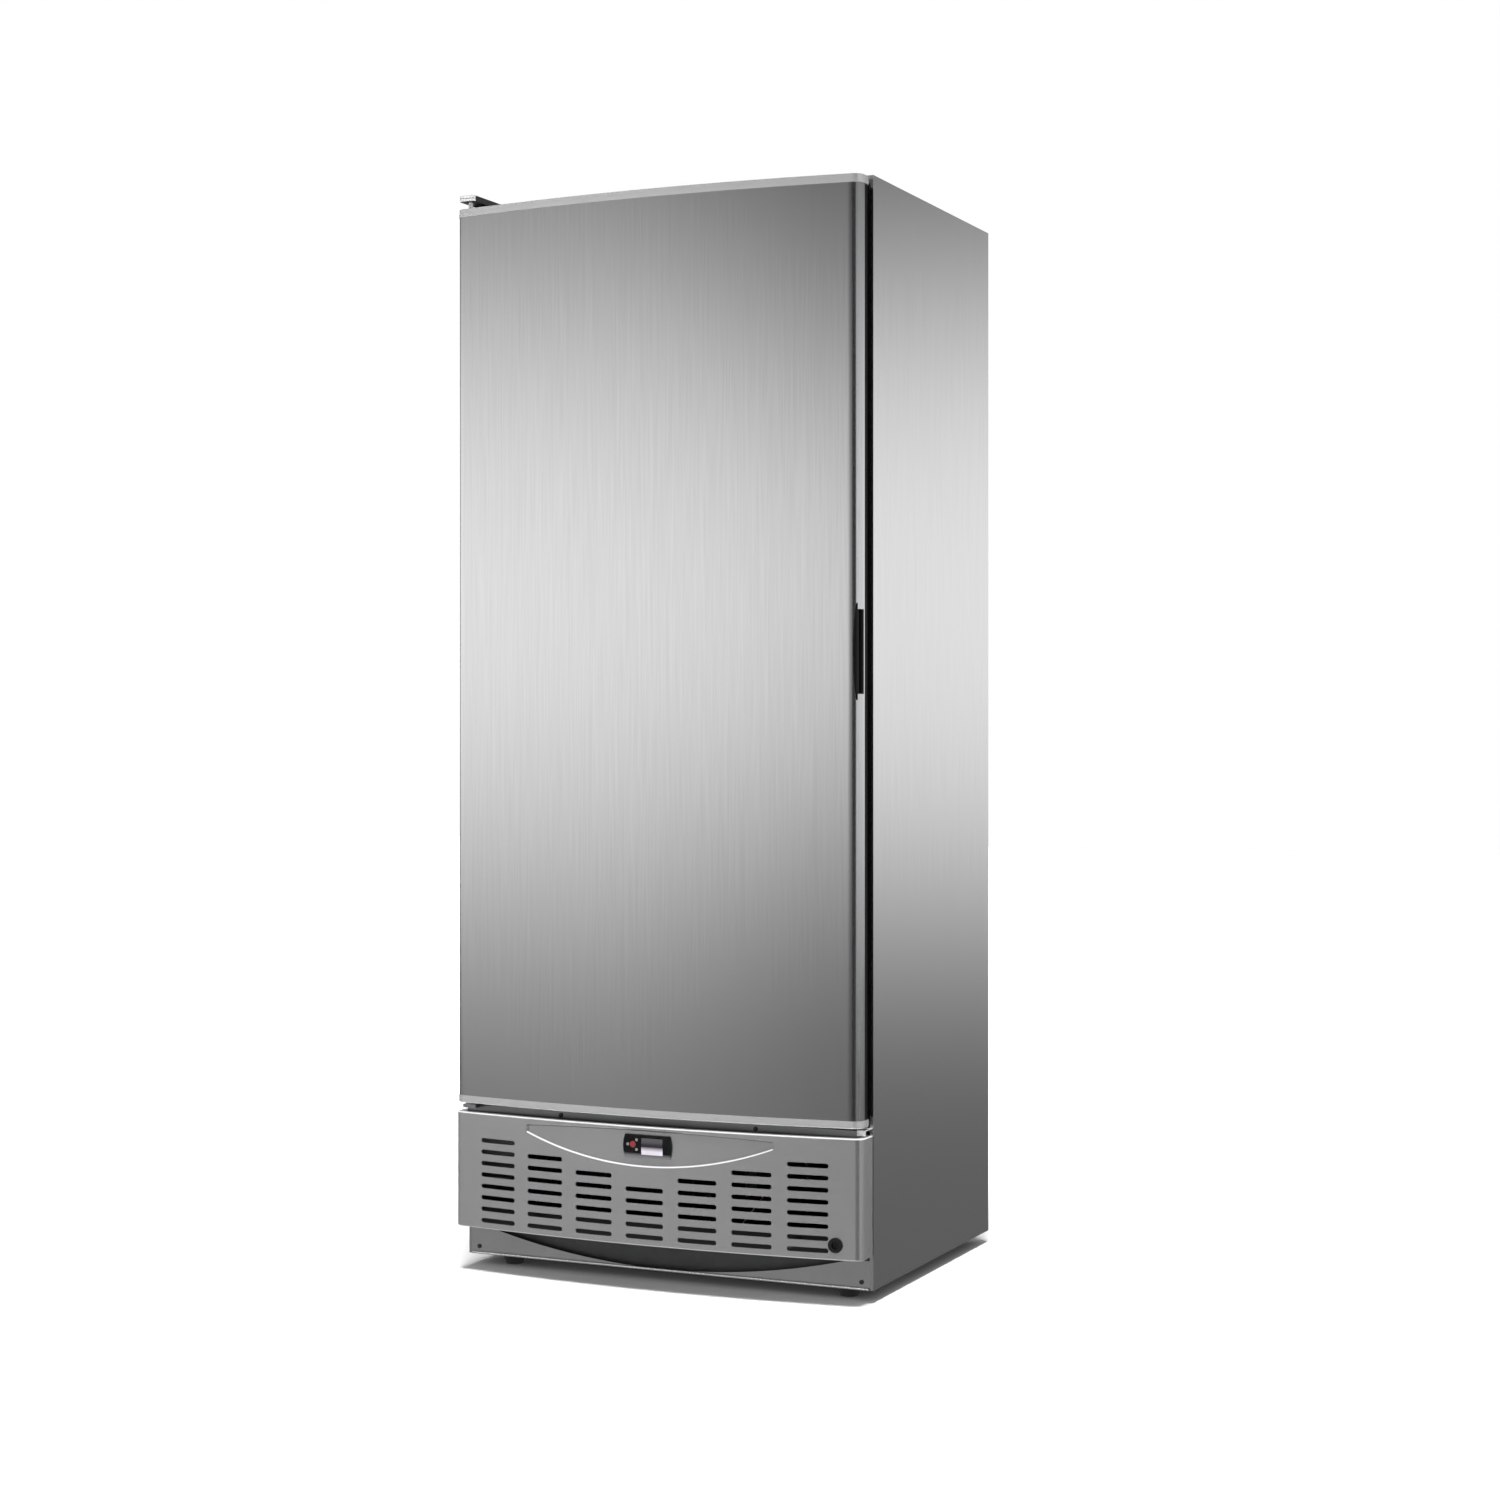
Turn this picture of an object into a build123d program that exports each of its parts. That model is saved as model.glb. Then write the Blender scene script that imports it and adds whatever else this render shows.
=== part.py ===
from build123d import *
import math
import os

# Upright storage freezer: a sheet steel cabinet with one bowed steel door hinged on the left,
# a bowed slotted grille under the door and the cooling machine behind that grille.
# Millimetres. X runs to the right seen from the front, Y to the back, Z up.
# The origin lies on the floor, in the middle of the outer box.

# ---------------------------------------------------------------- driving dimensions
# Cabinet
cabinet_width = 775.0
panel_height = 1855.0
side_depth = 576.0
sheet = 1.2
hem_width = 6.5
rear_return = 15.0
top_fold = 13.0
wall_thickness = 60.0
floor_thickness = 58.0
liner_wall = 2.0
liner_radius = 15.0
frame_depth = 12.0
bay_height = 268.0
bay_fold = 38.0
spacer_depth = 40.0
spacer_width = 60.0
spacer_height = 90.0

# Feet
foot_height = 22.0
foot_top_diameter = 42.0
foot_sole_diameter = 32.0
foot_rim = 4.0
stud_diameter = 10.0
stud_above_nut = 12.0
foot_side_inset = 64.0
foot_end_inset = 50.0
nut_width = 17.0
nut_height = 8.0

# Bowed front, shared by the door and the grille
bow_rise = 28.6
door_reach = 76.0
door_corner_radius = 17.0
door_side_gap = 3.0
cap_proud = 1.5
door_shell = 1.5
trim_proud = 0.5
trim_width = 6.0

# Door
door_bottom_gap = 7.0
door_top_drop = 5.0
top_cap_height = 14.0
bottom_cap_height = 12.5
rear_frame_depth = 20.0
gasket_depth = 11.7
gasket_width = 22.0
gasket_head_width = 15.0
rear_corner_radius = 6.0
inner_panel_sheet = 1.5
inner_panel_rise = 20.0
inner_panel_margin = 28.0

# Handle pocket in the free edge of the door
handle_height = 160.0
handle_centre_z = 1084.0
handle_bulge = 5.0
handle_end_width = 8.5
handle_rim = 1.0
handle_scoop = 1.5
handle_rear_lip = 3.0
pocket_reach = 32.0
pocket_wall = 2.0
pocket_slot_width = 7.0
pocket_slot_inset = 11.0

# Hinges
hinge_inset = 24.0
hinge_forward = 38.0
pin_diameter = 8.0
pin_engagement = 11.0
hinge_arm_width = 30.0
hinge_arm_thickness = 10.5
hinge_arm_lift = 7.5
hinge_arm_tail = 46.0
rail_depth = 29.0
rail_height = 40.0
rail_end_inset = 14.0
rail_sheet = 2.0
bracket_thickness = 3.0
plug_diameter = 15.0
plug_height = 3.0

# Running and seating clearances
rotating_clearance = 0.3
sliding_clearance = 0.2

# Grille
grille_height = 202.0
grille_bottom = 79.0
grille_reach = 77.0
grille_corner_radius = 14.0
grille_side_gap = 0.5
grille_rear_gap = 2.0
grille_wall = 3.0
grille_lip = 12.0
grille_edge_radius = 2.5
slot_length = 71.5
slot_height = 8.0
slot_pitch_x = 98.1
slot_pitch_z = 20.0
slot_bottom_row = 15.0
slot_rows = (8, 7, 6, 5, 6, 7, 8)
boss_diameter = 12.0
boss_x = 250.0
boss_inset_z = 16.0

# Smile-shaped recess and controller
smile_width = 464.0
smile_tip_height = 9.0
smile_sag = 43.0
smile_rise = 6.0
smile_drop = 14.0
smile_depth = 4.0
smile_bevel = 3.0
controller_width = 84.0
controller_bulge = 4.0
controller_height = 40.0
controller_x = 5.0
controller_drop = 33.5
controller_proud = 3.0
controller_body_width = 80.0
controller_body_height = 29.0
controller_body_depth = 36.0
lens_width = 40.0
lens_height = 28.0
lens_offset = 9.5
lens_thickness = 1.5
button_diameter = 5.0
power_button_diameter = 11.0
button_travel = 0.8
button_proud = 1.0
button_length = 5.0
bush_diameter = 25.0
bush_hole = 13.0
bush_x = 342.0
bush_rise = 25.0
bush_proud = 2.0

# Kick plate
kick_height = 86.0
arch_margin = 28.0
arch_rise = 3.0
arch_top = 50.0
kick_flange = 14.0
kick_lip_height = 3.0
kick_lip_reach = 3.0
baffle_setback = 14.0
screw_diameter = 8.0
screw_head = 2.0
kick_screw_inset = 21.0
kick_screw_rise = 13.0
rail_screw_x = 186.0

# Base tray
tray_sheet = 1.5
tray_flange = 24.0

# Compressor
compressor_x = 190.0
compressor_from_back = 150.0
compressor_length = 210.0
compressor_width = 158.0
compressor_height = 176.0
compressor_plate = 3.0
compressor_waist = 0.48
compressor_crown = 46.0
compressor_keel = 26.0
seam_reach = 3.0
seam_height = 6.0
terminal_width = 68.0
terminal_depth = 26.0
terminal_height = 64.0
terminal_rise = 40.0
compressor_foot_span_x = 210.0
compressor_foot_span_y = 112.0
mount_height = 20.0
mount_diameter = 26.0
mount_groove = 3.0

# Condenser, its shroud and fan
condenser_x = -130.0
condenser_width = 340.0
condenser_height = 210.0
condenser_depth = 66.0
condenser_from_front = 40.0
fin_pitch = 10.0
fin_thickness = 1.0
fin_core = 18.0
coil_tube = 9.5
coil_rows = 7
coil_plate = 1.5
coil_margin = 15.0
fin_setback = 3.0
fin_trim = 6.0
shroud_depth = 46.0
shroud_sheet = 1.5
fan_opening = 200.0
fan_ring_depth = 18.0
fan_diameter = 190.0
fan_hub_diameter = 52.0
fan_hub_depth = 24.0
blade_count = 5
blade_thickness = 2.0
blade_pitch_angle = 28.0
motor_diameter = 82.0
motor_depth = 48.0
motor_chamfer = 4.0
motor_gap = 16.0
shaft_diameter = 8.0
arm_width = 14.0
arm_thickness = 3.0

# Evaporation tray, electrical box, rear cover with the cable gland, and pipes
drip_tray_width = 260.0
drip_tray_depth = 190.0
drip_tray_height = 60.0
drip_tray_wall = 2.0
drip_tray_x = -150.0
drip_tray_from_back = 24.0
box_width = 60.0
box_depth = 150.0
box_height = 110.0
box_rise = 70.0
box_from_front = 150.0
gland_diameter = 20.0
gland_length = 26.0
gland_hole = 9.0
gland_rise = 50.0
gland_inset = 57.5
cover_overlap = 10.0
cover_top_gap = 46.0
outlet_x = -250.0
outlet_width = 180.0
outlet_above_tray = 12.0
outlet_radius = 12.0
cover_slots = 6
cover_slot_length = 180.0
cover_slot_height = 8.0
cover_slot_pitch = 18.0
pipe_diameter = 8.0
stub_length = 12.0
stub_wall = 1.5
stub_drop = 14.0
stub_rise = 22.0
stub_offset = 28.0
pipe_lead = 24.0
pipe_bend = 14.0
pipe_wide_bend = 18.0
pipe_clear = 40.0
drain_diameter = 22.0
drain_bore = 16.0
drain_above_tray = 12.0
drain_collar = 5.0
drain_collar_height = 1.5
strainer_hole = 3.5
strainer_ring = 5.0
strainer_count = 6
drain_lead = 24.0
drain_elbow_drop = 70.0
drain_run_drop = 120.0
drain_tray_inset = 40.0
drain_bend = 22.0
drain_wide_bend = 30.0

# Evaporator group under the ceiling of the liner
cover_height = 200.0
cover_depth = 330.0
cover_sheet = 2.0
evaporator_width = 520.0
evaporator_height = 110.0
evaporator_depth = 150.0
evaporator_from_back = 30.0
evaporator_fin_pitch = 20.0
evaporator_tube_pitch = 30.0
intake_count = 6
intake_pitch = 92.0
intake_length = 74.0
intake_width = 9.0
intake_from_back = 60.0
cold_fan_opening = 160.0
cold_fan_setback = 14.0
cold_motor_gap = 22.0
cold_fan_diameter = 150.0
cold_hub_diameter = 40.0
cold_hub_depth = 20.0
cold_motor_diameter = 62.0
cold_motor_depth = 40.0

# Shelves
shelf_count = 4
shelf_pitch = 250.0
shelf_depth = 420.0
shelf_front_gap = 45.0
wire = 5.0
shelf_rod = 8.0
wire_pitch = 36.0
pilaster_width = 24.0
pilaster_depth = 9.0
pilaster_sheet = 1.5
pilaster_inset = 70.0
pilaster_slot_pitch = 62.5
pilaster_slot_width = 8.0
pilaster_slot_height = 14.0
clip_width = 16.0
clip_height = 12.0
clip_depth = 6.0

# ---------------------------------------------------------------- places worked out from them
half_width = cabinet_width / 2
total_depth = cap_proud + door_reach + side_depth + spacer_depth
front_y = -total_depth / 2 + cap_proud + door_reach
back_y = front_y + side_depth
base_z = foot_height
top_z = base_z + panel_height
bay_top = base_z + bay_height
inner_half = half_width - wall_thickness
inner_floor = bay_top + floor_thickness
inner_top = top_z - wall_thickness
liner_front = front_y + frame_depth
inner_back = back_y - wall_thickness

door_half = half_width - door_side_gap
bow_radius = (door_half**2 + bow_rise**2) / (2 * bow_rise)
cap_half = door_half + cap_proud
door_bottom = bay_top + door_bottom_gap
door_top = top_z - door_top_drop
skin_bottom = door_bottom + bottom_cap_height
skin_top = door_top - top_cap_height
door_front = front_y - door_reach
door_back = front_y - gasket_depth - rotating_clearance
frame_front = door_back - rear_frame_depth
trim_plane = door_half - trim_width
pin_x = -(cap_half - hinge_inset)
pin_y = front_y - hinge_forward
gasket_outer = -pin_x - sliding_clearance - 2.0
gasket_inner = gasket_outer - gasket_width
gasket_low = door_bottom + bottom_cap_height + 3.0
gasket_high = skin_top - 5.0

grille_top = grille_bottom + grille_height
grille_half = half_width - grille_side_gap
grille_front = front_y - grille_reach
grille_back = front_y - grille_rear_gap
rail_top = bay_top + 1.0
rail_bottom = rail_top - rail_height
rail_front = front_y - rail_depth
rail_half = half_width - rail_end_inset
controller_z = grille_top - controller_drop
tray_top = base_z + tray_sheet

kick_half = half_width - hem_width
arch_half = kick_half - arch_margin
arch_depth = arch_top - arch_rise
arch_radius = (arch_half**2 + arch_depth**2) / (2 * arch_depth)
gland_x = half_width - gland_inset


# ---------------------------------------------------------------- helpers
def block(x0, x1, y0, y1, z0, z1):
    """A straight box between two corners."""
    return Pos((x0 + x1) / 2, (y0 + y1) / 2, (z0 + z1) / 2) * Box(x1 - x0, y1 - y0, z1 - z0)


def rod_x(x0, x1, y, z, diameter):
    """A round bar along X."""
    return Pos((x0 + x1) / 2, y, z) * Rot(0, 90, 0) * Cylinder(diameter / 2, x1 - x0)


def rod_y(x, y0, y1, z, diameter):
    """A round bar along Y."""
    return Pos(x, (y0 + y1) / 2, z) * Rot(90, 0, 0) * Cylinder(diameter / 2, y1 - y0)


def rod_z(x, y, z0, z1, diameter):
    """A round bar along Z."""
    return Pos(x, y, (z0 + z1) / 2) * Cylinder(diameter / 2, z1 - z0)


def facing(sketch, y0, y1):
    """A sketch drawn in X and Z, made a prism from y0 back to y1."""
    plane = Plane(origin=(0, y1, 0), x_dir=(1, 0, 0), z_dir=(0, -1, 0))
    return extrude(plane * sketch, y1 - y0)


def bow_outline(half, front, radius, corner, rear, inset=0.0):
    """Plan view of a bowed front: one wide arc, two corner arcs and straight sides to the rear."""
    centre_y = front + radius
    corner_x = half - corner
    reach = radius - corner
    corner_y = centre_y - math.sqrt(reach**2 - corner_x**2)
    wide = radius - inset
    small = corner - inset
    edge = half - inset
    tangent_x = corner_x * wide / reach
    tangent_y = centre_y + (corner_y - centre_y) * wide / reach
    half_angle = math.atan2(corner_y - centre_y, corner_x) / 2
    bend_x = corner_x + small * math.cos(half_angle)
    bend_y = corner_y + small * math.sin(half_angle)
    outline = [
        ThreePointArc((-tangent_x, tangent_y), (0, front + inset), (tangent_x, tangent_y)),
        ThreePointArc((tangent_x, tangent_y), (bend_x, bend_y), (edge, corner_y)),
        Line((edge, corner_y), (edge, rear)),
        Line((edge, rear), (-edge, rear)),
        Line((-edge, rear), (-edge, corner_y)),
        ThreePointArc((-edge, corner_y), (-bend_x, bend_y), (-tangent_x, tangent_y)),
    ]
    return make_face(Wire(outline))


def bow_solid(half, front, corner, rear, z0, z1, inset=0.0):
    """The bowed outline as an upright prism."""
    return extrude(Pos(0, 0, z0) * bow_outline(half, front, bow_radius, corner, rear, inset), z1 - z0)


def door_solid(z0, z1, inset, rear):
    """The door's own bowed prism, larger or smaller by the inset."""
    return bow_solid(door_half, door_front, door_corner_radius, rear, z0, z1, inset)


def grille_solid(z0, z1, inset, rear):
    """The grille's own bowed prism."""
    return bow_solid(grille_half, grille_front, grille_corner_radius, rear, z0, z1, inset)


def on_grille(x):
    """Place on the grille's front above x: local X along the skin, local -Y straight out of it."""
    centre_y = grille_front + bow_radius
    angle = math.asin(x / bow_radius)
    return Pos(0, centre_y, 0) * Rot(0, 0, math.degrees(angle)) * Pos(0, -bow_radius, 0)


def sheet_ring(half_out, half_in, z_out0, z_out1, z_in0, z_in1, y0, y1):
    """A rectangular frame standing in the plane of the door opening."""
    outer = block(-half_out, half_out, y0, y1, z_out0, z_out1)
    return outer - block(-half_in, half_in, y0 - 1, y1 + 1, z_in0, z_in1)


def pipe(points, radii, diameter):
    """A round tube along straight runs joined by tangent arcs."""
    path = FilletPolyline(*points, radius=radii)
    start = Plane(origin=path @ 0, z_dir=path % 0)
    return sweep(start * Circle(diameter / 2), path=path)


# ---------------------------------------------------------------- cabinet
def side_panel(side):
    """One side wall of folded steel, with a hem at the front and a return at the back."""
    wall = block(half_width - sheet, half_width, front_y, back_y, base_z, top_z)
    hem = block(half_width - hem_width, half_width, front_y, front_y + sheet, base_z, top_z)
    back = block(half_width - rear_return, half_width, back_y - sheet, back_y, base_z, top_z)
    panel = wall + hem + back
    return panel if side > 0 else mirror(panel, about=Plane.YZ)


def top_panel():
    """Roof sheet between the sides, folded down over the front edge."""
    edge = half_width - sheet
    roof = block(-edge, edge, front_y + sheet, back_y - sheet, top_z - sheet, top_z)
    edge_front = half_width - hem_width
    fold = block(-edge_front, edge_front, front_y, front_y + sheet, top_z - top_fold, top_z)
    return roof + fold


def back_panel():
    """Rear sheet of the insulated box, held inside the returns of the side walls."""
    edge = half_width - sheet
    return block(-edge, edge, back_y - 2 * sheet, back_y - sheet, bay_top, top_z - sheet)


def bay_ceiling():
    """Sheet between the insulated box and the machine bay, folded down at the front."""
    edge = half_width - sheet
    plate = block(-edge, edge, front_y + sheet, back_y - 2 * sheet, bay_top - sheet, bay_top)
    edge_front = half_width - hem_width
    fold = block(-edge_front, edge_front, front_y, front_y + sheet, bay_top - bay_fold, bay_top)
    hole = rod_z(0, inner_back - drain_diameter, bay_top - 2 * sheet, bay_top + sheet, drain_diameter)
    return plate + fold - hole


def liner_section(grow):
    """Cross-section of the inner box, rounded along its long edges."""
    height = inner_top - inner_floor + 2 * grow
    centre_z = (inner_top + inner_floor) / 2
    return Pos(0, centre_z) * RectangleRounded(2 * (inner_half + grow), height, liner_radius + grow)


def inner_liner():
    """White inner box, open at the front, with the drain's strainer holes in its floor."""
    outer = facing(liner_section(liner_wall), liner_front, inner_back + liner_wall)
    inner = facing(liner_section(0), liner_front - 1, inner_back)
    hole = Circle(strainer_hole / 2)
    strainer = hole + [place * hole for place in PolarLocations(strainer_ring, strainer_count)]
    lift = Pos(0, inner_back - drain_diameter, inner_floor - 2 * liner_wall)
    return outer - inner - lift * extrude(strainer, 3 * liner_wall)


def foam_insulation():
    """Foam that fills the walls between the outer sheets and the liner."""
    edge = half_width - sheet
    fill = block(-edge, edge, liner_front, back_y - 2 * sheet, bay_top, top_z - sheet)
    cavity = facing(liner_section(liner_wall), liner_front - 1, inner_back + liner_wall)
    y = inner_back - drain_diameter
    z = inner_floor - liner_wall
    hole = rod_z(0, y, bay_top - 1, z, drain_diameter)
    seat = rod_z(0, y, z - drain_collar_height, z + 1, drain_diameter + 2 * drain_collar)
    return fill - cavity - hole - seat


def front_frame():
    """Dark moulded frame round the opening, on which the gasket closes."""
    edge = half_width - sheet
    face = half_width - hem_width
    deep = block(-edge, edge, front_y + sheet, liner_front, bay_top, top_z - sheet)
    flush = block(-face, face, front_y, front_y + sheet, bay_top, top_z - top_fold)
    mouth = facing(liner_section(0), front_y - 1, liner_front + 1)
    return deep + flush - mouth


def hinge_rail():
    """Steel channel across the front between door and grille; it carries the lower hinge."""
    outer = block(-rail_half, rail_half, rail_front, front_y, rail_bottom, rail_top)
    inside = block(-rail_half - 1, rail_half + 1, rail_front + rail_sheet, front_y + 1,
                   rail_bottom + rail_sheet, rail_top - rail_sheet)
    return outer - inside


def hinge_hole_plug():
    """Black plug in the rail's unused hinge hole, for a door hung on the other side."""
    body = rod_z(-pin_x, rail_front + rail_depth / 3, rail_top, rail_top + plug_height, plug_diameter)
    return chamfer(body.edges().group_by(Axis.Z)[-1], 1.0)


def base_tray():
    """Folded floor pan of the machine bay, with a weld nut over each foot stud's hole."""
    edge = half_width - sheet
    front = front_y + sheet
    back = back_y - sheet
    pan = block(-edge, edge, front, back, base_z, base_z + tray_flange)
    pan -= block(-edge + tray_sheet, edge - tray_sheet, front - 1, back - tray_sheet,
                 tray_top, base_z + tray_flange + 1)
    nut = extrude(RegularPolygon(nut_width / 2, 6, major_radius=False), nut_height)
    for x, y in foot_places():
        pan += Pos(x, y, tray_top) * nut
        pan -= rod_z(x, y, base_z - 1, tray_top + nut_height + 1, stud_diameter + 2 * rotating_clearance)
    return pan


def foot_places():
    """Centres of the four feet."""
    x = half_width - foot_side_inset
    return [(-x, front_y + foot_end_inset), (x, front_y + foot_end_inset),
            (-x, back_y - foot_end_inset), (x, back_y - foot_end_inset)]


def foot(x, y):
    """Levelling foot: a conical pad on a stud that turns in its nut."""
    pad_height = foot_height - rotating_clearance
    profile = Polyline((0, 0), (foot_sole_diameter / 2, 0), (foot_top_diameter / 2, pad_height - foot_rim),
                       (foot_top_diameter / 2, pad_height), (0, pad_height), close=True)
    pad = revolve(Plane.XZ * make_face(profile), Axis.Z)
    stud = rod_z(0, 0, pad_height, tray_top + nut_height + stud_above_nut, stud_diameter)
    return Pos(x, y, 0) * (pad + stud)


def kick_plate():
    """Flat plate under the grille with the smile-shaped air opening and a bottom flange."""
    face = kick_half
    plate = block(-face, face, front_y, front_y + sheet, base_z, base_z + kick_height)
    arch_centre = base_z + arch_rise + arch_radius
    arch = facing(Pos(0, arch_centre) * Circle(arch_radius), front_y - 1, front_y + sheet + 1)
    arch &= block(-face, face, front_y - 2, front_y + sheet + 2, base_z, base_z + arch_top)
    plate -= arch
    lip = block(-face, face, front_y - kick_lip_reach, front_y, base_z, base_z + kick_lip_height)
    return plate + lip


def air_baffle():
    """Dark plate behind the air opening of the kick plate."""
    face = kick_half - kick_flange
    y = front_y + baffle_setback
    wall = block(-face, face, y, y + sheet, tray_top, base_z + kick_height)
    fold = block(-face, face, front_y + sheet, y, base_z + kick_height - sheet, base_z + kick_height)
    return wall + fold


def screws():
    """Countersunk-look button screws of the kick plate and of the hinge rail."""
    group = []
    x = half_width - kick_screw_inset
    for side in (-1, 1):
        group.append(rod_y(side * x, front_y - screw_head, front_y, base_z + kick_screw_rise, screw_diameter))
        group.append(rod_y(side * rail_screw_x, rail_front - screw_head, rail_front,
                           rail_top - screw_diameter, screw_diameter))
    return [chamfer(s.edges().group_by(Axis.Y)[0], screw_head / 2) for s in group]


def wall_spacers():
    """Two tapered blocks that keep the back off the wall."""
    group = []
    seat = back_y - sheet
    for side in (-1, 1):
        x = side * (inner_half - spacer_width)
        z = top_z - 2 * spacer_height
        low = Plane(origin=(x, seat, z), x_dir=(1, 0, 0), z_dir=(0, 1, 0)) * Rectangle(spacer_width, spacer_height)
        high = Plane(origin=(x, back_y + spacer_depth, z), x_dir=(1, 0, 0),
                     z_dir=(0, 1, 0)) * Rectangle(spacer_width * 0.6, spacer_height * 0.7)
        group.append(loft([low, high]))
    return group


# ---------------------------------------------------------------- hinges
def top_hinge_bracket():
    """Arm on the roof that reaches forward over the door and holds the upper pin."""
    z1 = top_z + hinge_arm_lift
    x0 = pin_x - hinge_arm_width / 2
    x1 = pin_x + hinge_arm_width / 2
    arm = block(x0, x1, pin_y - hinge_arm_width / 2, front_y + hinge_arm_tail, z1, z1 + hinge_arm_thickness)
    arm = chamfer(arm.edges().filter_by(Axis.Z).group_by(Axis.Y)[0], 4.0)
    foot_block = block(x0, x1, front_y + sheet, front_y + hinge_arm_tail, top_z, z1)
    bore = rod_z(pin_x, pin_y, z1 - 1, z1 + hinge_arm_thickness - 2, pin_diameter)
    return arm + foot_block - bore


def lower_hinge_bracket():
    """Plate on the hinge rail with the collar on which the door turns."""
    z1 = rail_top + bracket_thickness
    x0 = pin_x - hinge_arm_width / 2
    x1 = pin_x + hinge_arm_width / 2
    plate = block(x0 + 5, x1, pin_y - hinge_arm_width / 3, front_y - 2, rail_top, z1)
    plate += block(x0 + 5, x1, pin_y - hinge_arm_width / 3, rail_front, rail_top - bracket_thickness, rail_top)
    collar = rod_z(pin_x, pin_y, z1, door_bottom - rotating_clearance, pin_diameter + 10)
    bore = rod_z(pin_x, pin_y, rail_top - bracket_thickness + 1, door_bottom, pin_diameter)
    return plate + collar - bore


def hinge_pins():
    """The two steel pins on the door's turning axis."""
    top = rod_z(pin_x, pin_y, door_top - pin_engagement, top_z + hinge_arm_lift + hinge_arm_thickness - 2,
                pin_diameter)
    low = rod_z(pin_x, pin_y, rail_top - bracket_thickness + 1, door_bottom + pin_engagement, pin_diameter)
    return [top, low]


def pin_socket():
    """Clear bore along the turning axis, cut from what turns on the pins."""
    reach = pin_engagement + 1
    size = pin_diameter + 2 * rotating_clearance
    low = rod_z(pin_x, pin_y, door_bottom - 1, door_bottom + reach, size)
    high = rod_z(pin_x, pin_y, door_top - reach, door_top + 1, size)
    return low + high


# ---------------------------------------------------------------- grille and controller
def smile_sketch(grow):
    """Smile outline in X and Z: a nearly straight upper edge and a sagging lower arc."""
    half = smile_width / 2 + grow
    tip_top = grille_top - smile_drop + grow
    tip_low = grille_top - smile_drop - smile_tip_height - grow
    top_mid = tip_top + smile_rise
    low_mid = tip_low - smile_sag
    outline = [
        ThreePointArc((-half, tip_top), (0, top_mid), (half, tip_top)),
        Line((half, tip_top), (half, tip_low)),
        ThreePointArc((half, tip_low), (0, low_mid), (-half, tip_low)),
        Line((-half, tip_low), (-half, tip_top)),
    ]
    return make_face(Wire(outline))


def smile_pocket(blank):
    """What the smile recess takes out of the grille's blank, with a bevel all round its rim."""
    floor_band = grille_solid(grille_bottom, grille_top, smile_depth, grille_back)
    straight = blank - (facing(smile_sketch(0), grille_front - 1, front_y) - floor_band)
    half = smile_width / 2 + 1
    axis_y = grille_front + bow_radius
    rim = straight.edges().filter_by(
        lambda e: abs((e @ 0.5).X) < half
        and grille_bottom + grille_edge_radius < (e @ 0.5).Z < grille_top - grille_edge_radius
        and abs(math.hypot((e @ 0.5).X, (e @ 0.5).Y - axis_y) - bow_radius) < 0.05)
    return blank - chamfer(rim, smile_bevel)


def slot_centres():
    """Centre of every air slot: the middle columns are shorter, under the smile."""
    middle = (len(slot_rows) - 1) / 2
    first_z = grille_bottom + slot_bottom_row
    return [((column - middle) * slot_pitch_x, first_z + row * slot_pitch_z)
            for column, rows in enumerate(slot_rows) for row in range(rows)]


def bush_hole_cut(diameter, out, back):
    """Round prism square to the grille's skin at the bush."""
    length = out + back
    return on_grille(bush_x) * Pos(0, (back - out) / 2, grille_bottom + bush_rise) * Rot(
        90, 0, 0) * Cylinder(diameter / 2, length)


def controller_outline(grow):
    """Controller front: straight above and below, bulging at both sides."""
    half = controller_width / 2 + grow
    high = controller_height / 2 + grow
    outline = [
        Line((-half, high), (half, high)),
        ThreePointArc((half, high), (half + controller_bulge, 0), (half, -high)),
        Line((half, -high), (-half, -high)),
        ThreePointArc((-half, -high), (-half - controller_bulge, 0), (-half, high)),
    ]
    return Pos(controller_x, controller_z) * make_face(Wire(outline))


def grille_panel():
    """Bowed moulded grille: shell, lips, slots, smile recess, bosses and the bush hole."""
    shell = grille_solid(grille_bottom, grille_top, 0, grille_back)
    rims = shell.edges().group_by(Axis.Z)[-1] + shell.edges().group_by(Axis.Z)[0]
    rims = rims.filter_by(lambda e: e.center().Y < grille_back - 0.01)
    blank = fillet(rims, grille_edge_radius)
    hollow = grille_solid(grille_bottom + grille_wall, grille_top - grille_wall, grille_wall, grille_back + 1)
    mouth = grille_solid(grille_bottom - 1, grille_top + 1, grille_lip, grille_back + 1)
    shell = blank - hollow
    shell -= mouth

    near = grille_front - 1
    backing = facing(smile_sketch(grille_wall), near, front_y) & (
        grille_solid(grille_bottom, grille_top, grille_wall / 2, grille_back)
        - grille_solid(grille_bottom, grille_top, smile_depth + grille_wall, grille_back))
    shell += backing
    shell -= smile_pocket(blank)

    for x in (-boss_x, boss_x):
        y0 = grille_front + bow_radius - math.sqrt((bow_radius - grille_wall / 2)**2 - x**2)
        shell += rod_y(x, y0, front_y, grille_bottom + boss_inset_z, boss_diameter)
        shell += rod_y(x, y0, rail_front, grille_top - boss_inset_z, boss_diameter)

    slot = SlotOverall(slot_length, slot_height)
    slots = Sketch() + [Pos(x, z) * slot for x, z in slot_centres()]
    shell -= facing(slots, near, rail_front - 1)
    shell -= bush_hole_cut(bush_diameter - 4, 5, 2 * grille_wall)
    shell -= facing(Pos(controller_x, controller_z) * Rectangle(
        controller_body_width + 2 * sliding_clearance, controller_body_height + 2 * sliding_clearance),
        near, rail_front)
    return shell


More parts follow.
